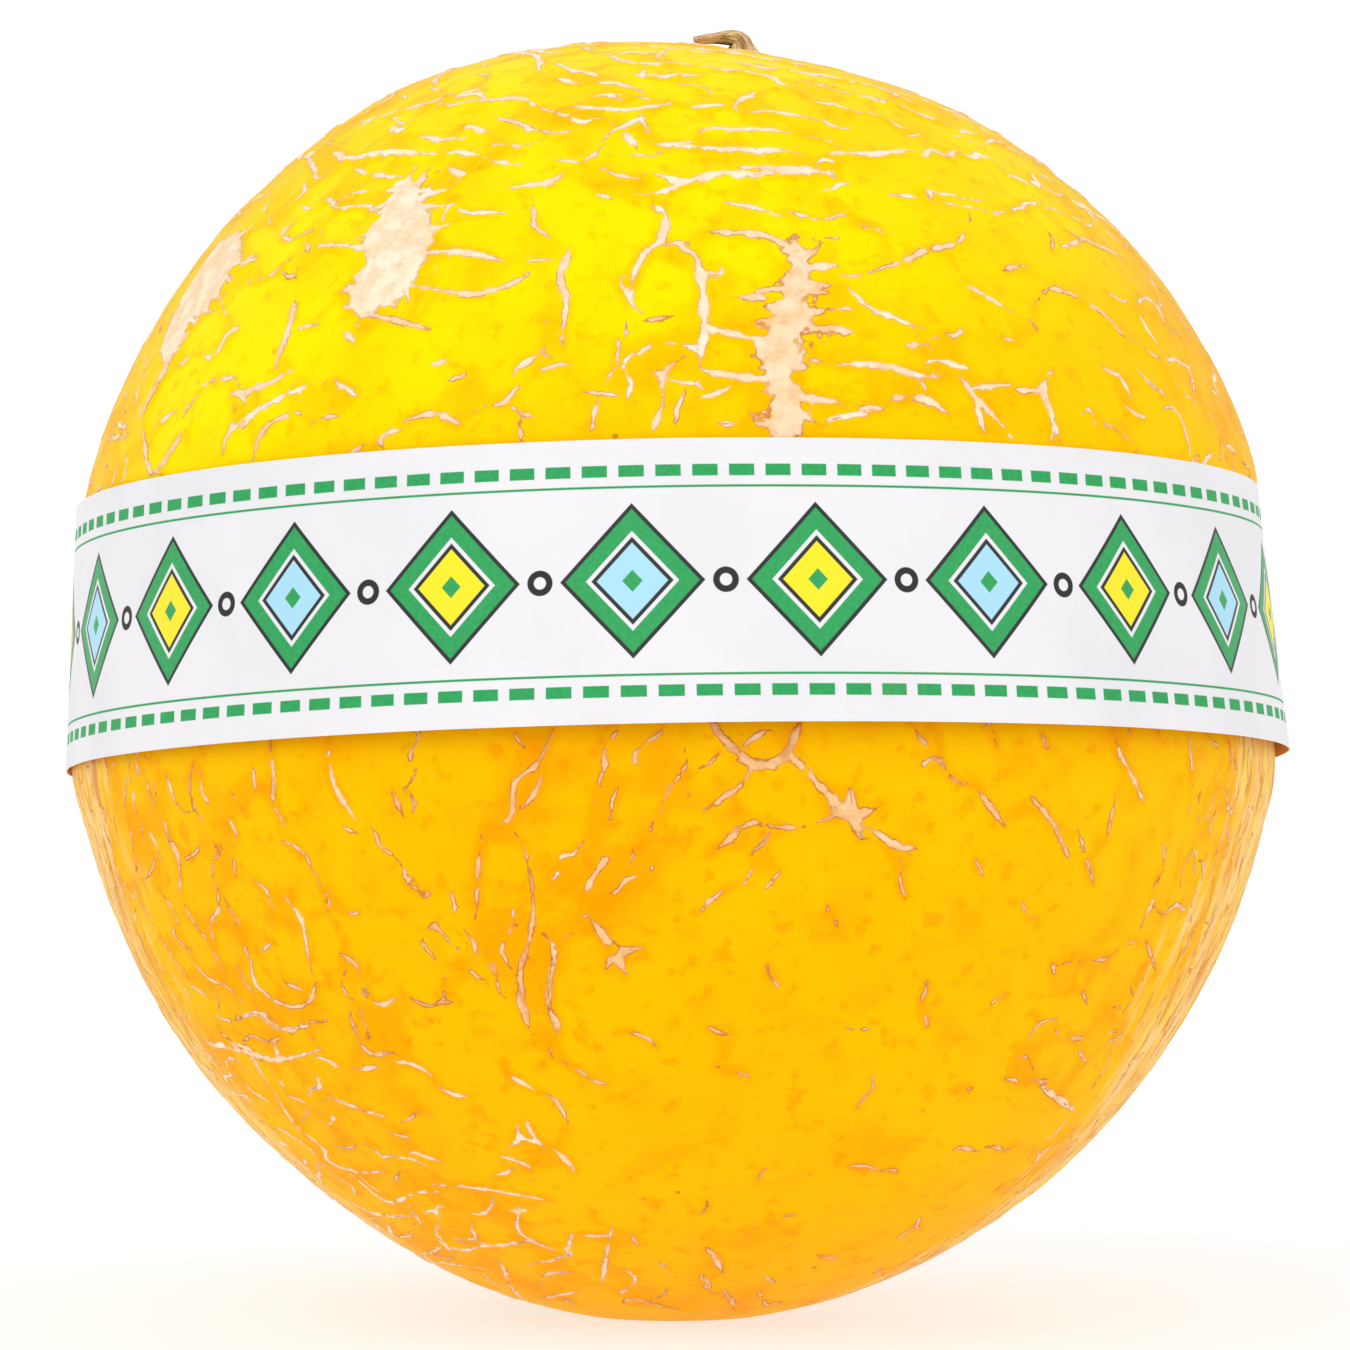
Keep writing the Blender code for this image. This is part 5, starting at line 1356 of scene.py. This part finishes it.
def printed_paper():
    """Smooth white paper, printed in green, black, yellow and pale blue ink, with faint scuffs, and its inner
    side coloured orange-brown as painted shade and painted orange reflection from the fruit.
    """
    material, tree, shader = new_material("white paper", 0.6)
    along = new_node(tree, "Attribute", attribute_name="along_mm").outputs["Fac"]
    across = new_node(tree, "Attribute", attribute_name="across_mm").outputs["Fac"]
    height = reckon(tree, "ABSOLUTE", across)

    def crisp(value, edge):
        return ease(tree, value, reckon(tree, "ADD", edge, INK_EDGE), reckon(tree, "ADD", edge, -INK_EDGE))

    def both(first, second):
        return reckon(tree, "MULTIPLY", first, second)

    cell = reckon(tree, "DIVIDE", along, LOZENGE_PITCH)
    odd = reckon(tree, "GREATER_THAN", reckon(tree, "FRACT", reckon(tree, "MULTIPLY", cell, 0.5)), 0.5)
    aside = reckon(tree, "SUBTRACT", reckon(tree, "FRACT", cell), 0.5)
    aside = reckon(tree, "MULTIPLY", reckon(tree, "ABSOLUTE", aside), LOZENGE_PITCH)
    ring = reckon(tree, "DIVIDE", aside, LOZENGE_HALF_LENGTH)
    ring = reckon(tree, "ADD", ring, reckon(tree, "DIVIDE", height, LOZENGE_HALF_HEIGHT))
    reach = reckon(tree, "MULTIPLY", ring, LOZENGE_EDGES[0])
    border = reckon(tree, "SUBTRACT", LOZENGE_PITCH / 2, aside)
    round_off = reckon(tree, "SQRT", reckon(tree, "ADD", both(border, border), both(height, height)))

    paper = blended(tree, mottled(tree, 60, 0.4, 0.7, 3.0), linear("eceaed"), linear("e6e5e8"))
    green = blended(tree, mottled(tree, 2200, 0.3, 0.7), linear("119a4c"), linear("1ea558"))
    black = linear("17181a")
    heart = blended(tree, odd, linear("ffe800"), linear("a9ddf3"))
    print_colour = paper
    for edge, ink in zip(LOZENGE_EDGES, (black, green, paper, black, heart, green)):
        print_colour = blended(tree, crisp(reach, edge), print_colour, ink)
    for edge, ink in zip(RING_EDGES, (black, paper)):
        print_colour = blended(tree, crisp(round_off, edge), print_colour, ink)
    dash = reckon(tree, "FRACT", reckon(tree, "DIVIDE", along, DASH_PITCH))
    dash = reckon(tree, "SUBTRACT", reckon(tree, "MULTIPLY", dash, DASH_PITCH), DASH_PITCH / 2)
    dash = crisp(reckon(tree, "ABSOLUTE", dash), DASH_HALF_LENGTH)
    row = crisp(reckon(tree, "ABSOLUTE", reckon(tree, "SUBTRACT", height, DASH_ROW)), DASH_HALF_HEIGHT)
    print_colour = blended(tree, both(row, dash), print_colour, green)
    thin = reckon(tree, "ABSOLUTE", reckon(tree, "SUBTRACT", height, THIN_LINE))
    print_colour = blended(tree, crisp(thin, THIN_LINE_HALF_HEIGHT), print_colour, green)
    specks = reckon(tree, "MULTIPLY", dotted(tree, 160, 0.05, 0.10), 0.5)
    print_colour = blended(tree, specks, print_colour, linear("9a6a45"))
    scuff = reckon(tree, "MULTIPLY", mottled(tree, 75, 0.62, 0.80, 5.0), 0.16)
    print_colour = blended(tree, scuff, print_colour, linear("cfc4b8"))
    # Painted shade and painted orange reflection from the fruit, on the paper's inner side
    inner = new_node(tree, "Attribute", attribute_name="inner").outputs["Fac"]
    print_colour = blended(tree, ease(tree, inner, 0.45, 0.55), print_colour, linear("e09a48"))
    tree.links.new(print_colour, shader.inputs["Base Color"])
    tree.links.new(ease(tree, reach, 5.9, 6.1, 0.48, 0.62), shader.inputs["Roughness"])
    fibres = reckon(tree, "MULTIPLY", mottled(tree, 2600, 0.3, 0.7, 3.0), 0.05)
    creases = reckon(tree, "MULTIPLY", mottled(tree, 45, 0.3, 0.7, 2.0, 0.35), 1.0)
    raised(tree, shader, reckon(tree, "ADD", fibres, creases), 0.6, 0.0003)
    return material


new_piece("paper_band", paper_strip(), printed_paper(), "band")

# Stem
# The dried stub of the fruit stalk, left where it broke off: a withered, ribbed tube of brown fibre, flared
# where it leaves the fruit, bent over to the left and hollow at its torn end.

STALK_BEND = [
    (-0.0002, 0.0, -0.0008),
    (-0.0002, 0.0, 0.0009),
    (-0.0003, 0.0, 0.0019),
    (-0.0008, 0.0, 0.0025),
    (-0.0019, -0.0001, 0.0025),
    (-0.0032, -0.0002, 0.0023),
    (-0.0046, -0.0004, 0.0021),
    (-0.0059, -0.0005, 0.0019),
]
STALK_HALF_WIDTH = 0.0017
STALK_HALF_DEPTH = 0.00085
STALK_FOOT = 0.0015
STALK_FOOT_SHARE = 0.40
STALK_SAG = 0.0007
STALK_RIBS = 5
STALK_RIB_DEPTH = 0.10
STALK_SIDES = 72
STALK_RINGS = 70
STALK_SMOOTHING = 18
STALK_SAG_END = 0.8
STALK_FOOT_POWER = 1.6
STALK_FOOT_WIDER = 0.6
STALK_NARROWS = 0.35
STALK_THINS = 0.45
# The hollow of the torn end, ring by ring: its share of the end's width, and its depth
STALK_HOLLOW = ((0.72, 0.0), (0.45, 0.0007), (0.15, 0.0010))
STALK_RAGGED = 0.0001


def withered_stub():
    """The stub as one closed skin with ribs, wrinkles and a torn hollow end."""
    root = rind_point(STALK[None], np.zeros(1))[0]
    root[2] += CENTRE_HEIGHT
    bend = np.array(STALK_BEND)
    run = np.linspace(0, len(bend) - 1, STALK_RINGS)
    line = np.stack([np.interp(run, np.arange(len(bend)), bend[:, axis]) for axis in range(3)], axis=1)
    for _ in range(STALK_SMOOTHING):
        line[1:-1] = (line[:-2] + 2 * line[1:-1] + line[2:]) / 4
    ahead = unit(np.gradient(line, axis=0))
    corners = []
    crests_and_painted_shade = []
    for number, (place, forward) in enumerate(zip(line, ahead)):
        along = number / (STALK_RINGS - 1)
        side = np.array([0.0, 1.0, 0.0])
        lower = unit(np.cross(forward, side))
        foot = max(0.0, 1 - along / STALK_FOOT_SHARE) ** STALK_FOOT_POWER
        wide = STALK_HALF_WIDTH * (1 + STALK_FOOT_WIDER * foot) * (1 - STALK_NARROWS * along)
        deep = STALK_HALF_DEPTH * (1 - STALK_THINS * along) + STALK_FOOT * foot
        sag = STALK_SAG * math.sin(math.pi * min(1.0, along / STALK_SAG_END)) ** 2
        for corner in range(STALK_SIDES):
            angle = 2 * math.pi * corner / STALK_SIDES
            rib = STALK_RIB_DEPTH * math.cos(STALK_RIBS * angle + 2.0 * along)
            fibre = 0.05 * math.sin(17 * angle + 5 * math.sin(4 * along))
            fibre += 0.04 * math.sin(29 * angle + 9 * along)
            knot = 0.05 * math.sin(23 * along + 3 * math.sin(2 * angle)) * math.sin(3 * angle)
            swell_out = 1 + rib + fibre + knot
            across = side * math.cos(angle) * wide * swell_out
            below = max(0.0, math.sin(angle))
            drop = lower * (math.sin(angle) * deep * swell_out + below * sag)
            corners.append(root + place + across + drop)
            # Painted shade: the crest value is lower between the ribs and under the stub where it lies over
            # the rind, and the colour darkens with it
            shade = max(0.0, below - 0.30) * math.sin(math.pi * along)
            crests_and_painted_shade.append(0.55 + 2.0 * (rib + fibre) - 1.2 * shade)
    end = len(corners) - STALK_SIDES
    middle = np.mean(corners[end:], axis=0)
    for inward, sunk in STALK_HOLLOW:
        for corner in range(STALK_SIDES):
            ragged = STALK_RAGGED * math.sin(11 * corner)
            lip = middle + (corners[end + corner] - middle) * inward - ahead[-1] * (sunk + ragged)
            corners.append(lip)
            # Painted shade deep in the torn hollow
            crests_and_painted_shade.append(0.1)
    faces = []
    rings = len(corners) // STALK_SIDES
    for ring in range(rings - 1):
        for corner in range(STALK_SIDES):
            beside = (corner + 1) % STALK_SIDES
            low = ring * STALK_SIDES
            high = low + STALK_SIDES
            faces.append((low + corner, low + beside, high + beside, high + corner))
    faces.append(tuple(range(STALK_SIDES))[::-1])
    faces.append(tuple((rings - 1) * STALK_SIDES + corner for corner in range(STALK_SIDES)))
    mesh = bpy.data.meshes.new("withered stub")
    mesh.from_pydata([tuple(corner) for corner in corners], [], faces)
    mesh.shade_smooth()
    mesh.set_sharp_from_angle(angle=math.radians(60))
    mesh.attributes.new("crest", "FLOAT", "POINT").data.foreach_set("value", crests_and_painted_shade)
    return mesh


def dried_stalk():
    """Dry brown fibre: tan and pinkish on its ribs, with painted shade in dark olive brown between them,
    under the stub and in its hollow.
    """
    material, tree, shader = new_material("dried stalk", 0.85)
    crest = new_node(tree, "Attribute", attribute_name="crest").outputs["Fac"]
    uneven = reckon(tree, "MULTIPLY_ADD", mottled(tree, 900, 0.3, 0.7, 4.0), 0.5, crest)
    # Lighter on the ribs and darker between them and underneath: painted shade
    colours = blended(tree, ease(tree, uneven, 0.35, 1.05), linear("ab8650"), linear("f0d8a6"))
    pink = reckon(tree, "MULTIPLY", mottled(tree, 420, 0.42, 0.60, 2.0), 0.6)
    colours = blended(tree, pink, colours, linear("e8be9c"))
    # Painted shade: near black under the stub and in its hollow
    colours = blended(tree, ease(tree, crest, 0.22, 0.02), colours, linear("3a200c"))
    tree.links.new(colours, shader.inputs["Base Color"])
    raised(tree, shader, mottled(tree, 2400, 0.3, 0.7, 4.0), 0.8, 0.0002)
    return material


new_piece("stalk_stub", withered_stub(), dried_stalk(), "stem")

# Floor
# A plain pale sheet under the melon that sweeps up behind it.

FLOOR_HALF = 3.0
SWEEP_START = 1.2
SWEEP_RADIUS = 1.0
SWEEP_STEPS = 24
WALL_TOP = 3.5
FLOOR_GREY = 0.42
FLOOR_GLOW = 0.60


def pale_sheet():
    """A flat sheet that turns up into a wall behind."""
    profile = [(-FLOOR_HALF, 0.0), (SWEEP_START, 0.0)]
    for step in range(1, SWEEP_STEPS + 1):
        angle = math.pi / 2 * step / SWEEP_STEPS
        profile.append((SWEEP_START + SWEEP_RADIUS * math.sin(angle), SWEEP_RADIUS * (1 - math.cos(angle))))
    profile.append((SWEEP_START + SWEEP_RADIUS, WALL_TOP))
    corners = [(x, y, z) for y, z in profile for x in (-FLOOR_HALF, FLOOR_HALF)]
    faces = [(2 * row, 2 * row + 1, 2 * row + 3, 2 * row + 2) for row in range(len(profile) - 1)]
    mesh = bpy.data.meshes.new("pale sheet")
    mesh.from_pydata(corners, [], faces)
    mesh.shade_smooth()
    return mesh


floor_material, _, floor_shader = new_material("pale floor", 0.9)
floor_shader.inputs["Base Color"].default_value = (FLOOR_GREY, FLOOR_GREY, FLOOR_GREY, 1.0)
floor_shader.inputs["Emission Color"].default_value = (1.0, 1.0, 1.0, 1.0)
floor_shader.inputs["Emission Strength"].default_value = FLOOR_GLOW
floor_shader.inputs["Specular IOR Level"].default_value = 0.1
floor = bpy.data.objects.new("floor", pale_sheet())
floor.data.materials.append(floor_material)
bpy.context.scene.collection.objects.link(floor)

# Light and camera
# Soft even studio light from a white room and three broad lamps, and a long lens level with the melon.

CAMERA_DISTANCE = 0.735
PHOTO_SIDE = 1350
PIXELS_PER_RADIAN = 6382.0
MELON_LEFT = 0.00012
MELON_LOW = 0.00092
ROOM_LIGHT = 0.82
LAMP_SPREAD = 50

scene = bpy.context.scene
room = bpy.data.worlds.new("white room")
room.use_nodes = True
room.node_tree.nodes["Background"].inputs["Color"].default_value = (1.0, 1.0, 1.0, 1.0)
room.node_tree.nodes["Background"].inputs["Strength"].default_value = ROOM_LIGHT
scene.world = room
scene.view_settings.view_transform = "Standard"


def soft_lamp(name, turn, rise, power):
    """A very broad, distant light from a turn and rise round the melon."""
    lamp = bpy.data.lights.new(name, "SUN")
    lamp.energy = power
    lamp.angle = math.radians(LAMP_SPREAD)
    thing = bpy.data.objects.new(name, lamp)
    scene.collection.objects.link(thing)
    thing.rotation_euler = (math.radians(90 - rise), 0.0, math.radians(turn))


soft_lamp("key light", -35, 45, 0.50)
soft_lamp("fill light", 50, 15, 0.30)
soft_lamp("front light", -5, 5, 0.30)

lens = bpy.data.cameras.new("lens")
lens.sensor_width = 36.0
lens.lens = 36.0 * PIXELS_PER_RADIAN / PHOTO_SIDE
lens.clip_start = 0.05
lens.clip_end = 20.0
camera = bpy.data.objects.new("camera", lens)
camera.location = (MELON_LEFT, -CAMERA_DISTANCE, CENTRE_HEIGHT + MELON_LOW)
camera.rotation_euler = (math.pi / 2, 0.0, 0.0)
scene.collection.objects.link(camera)
scene.camera = camera
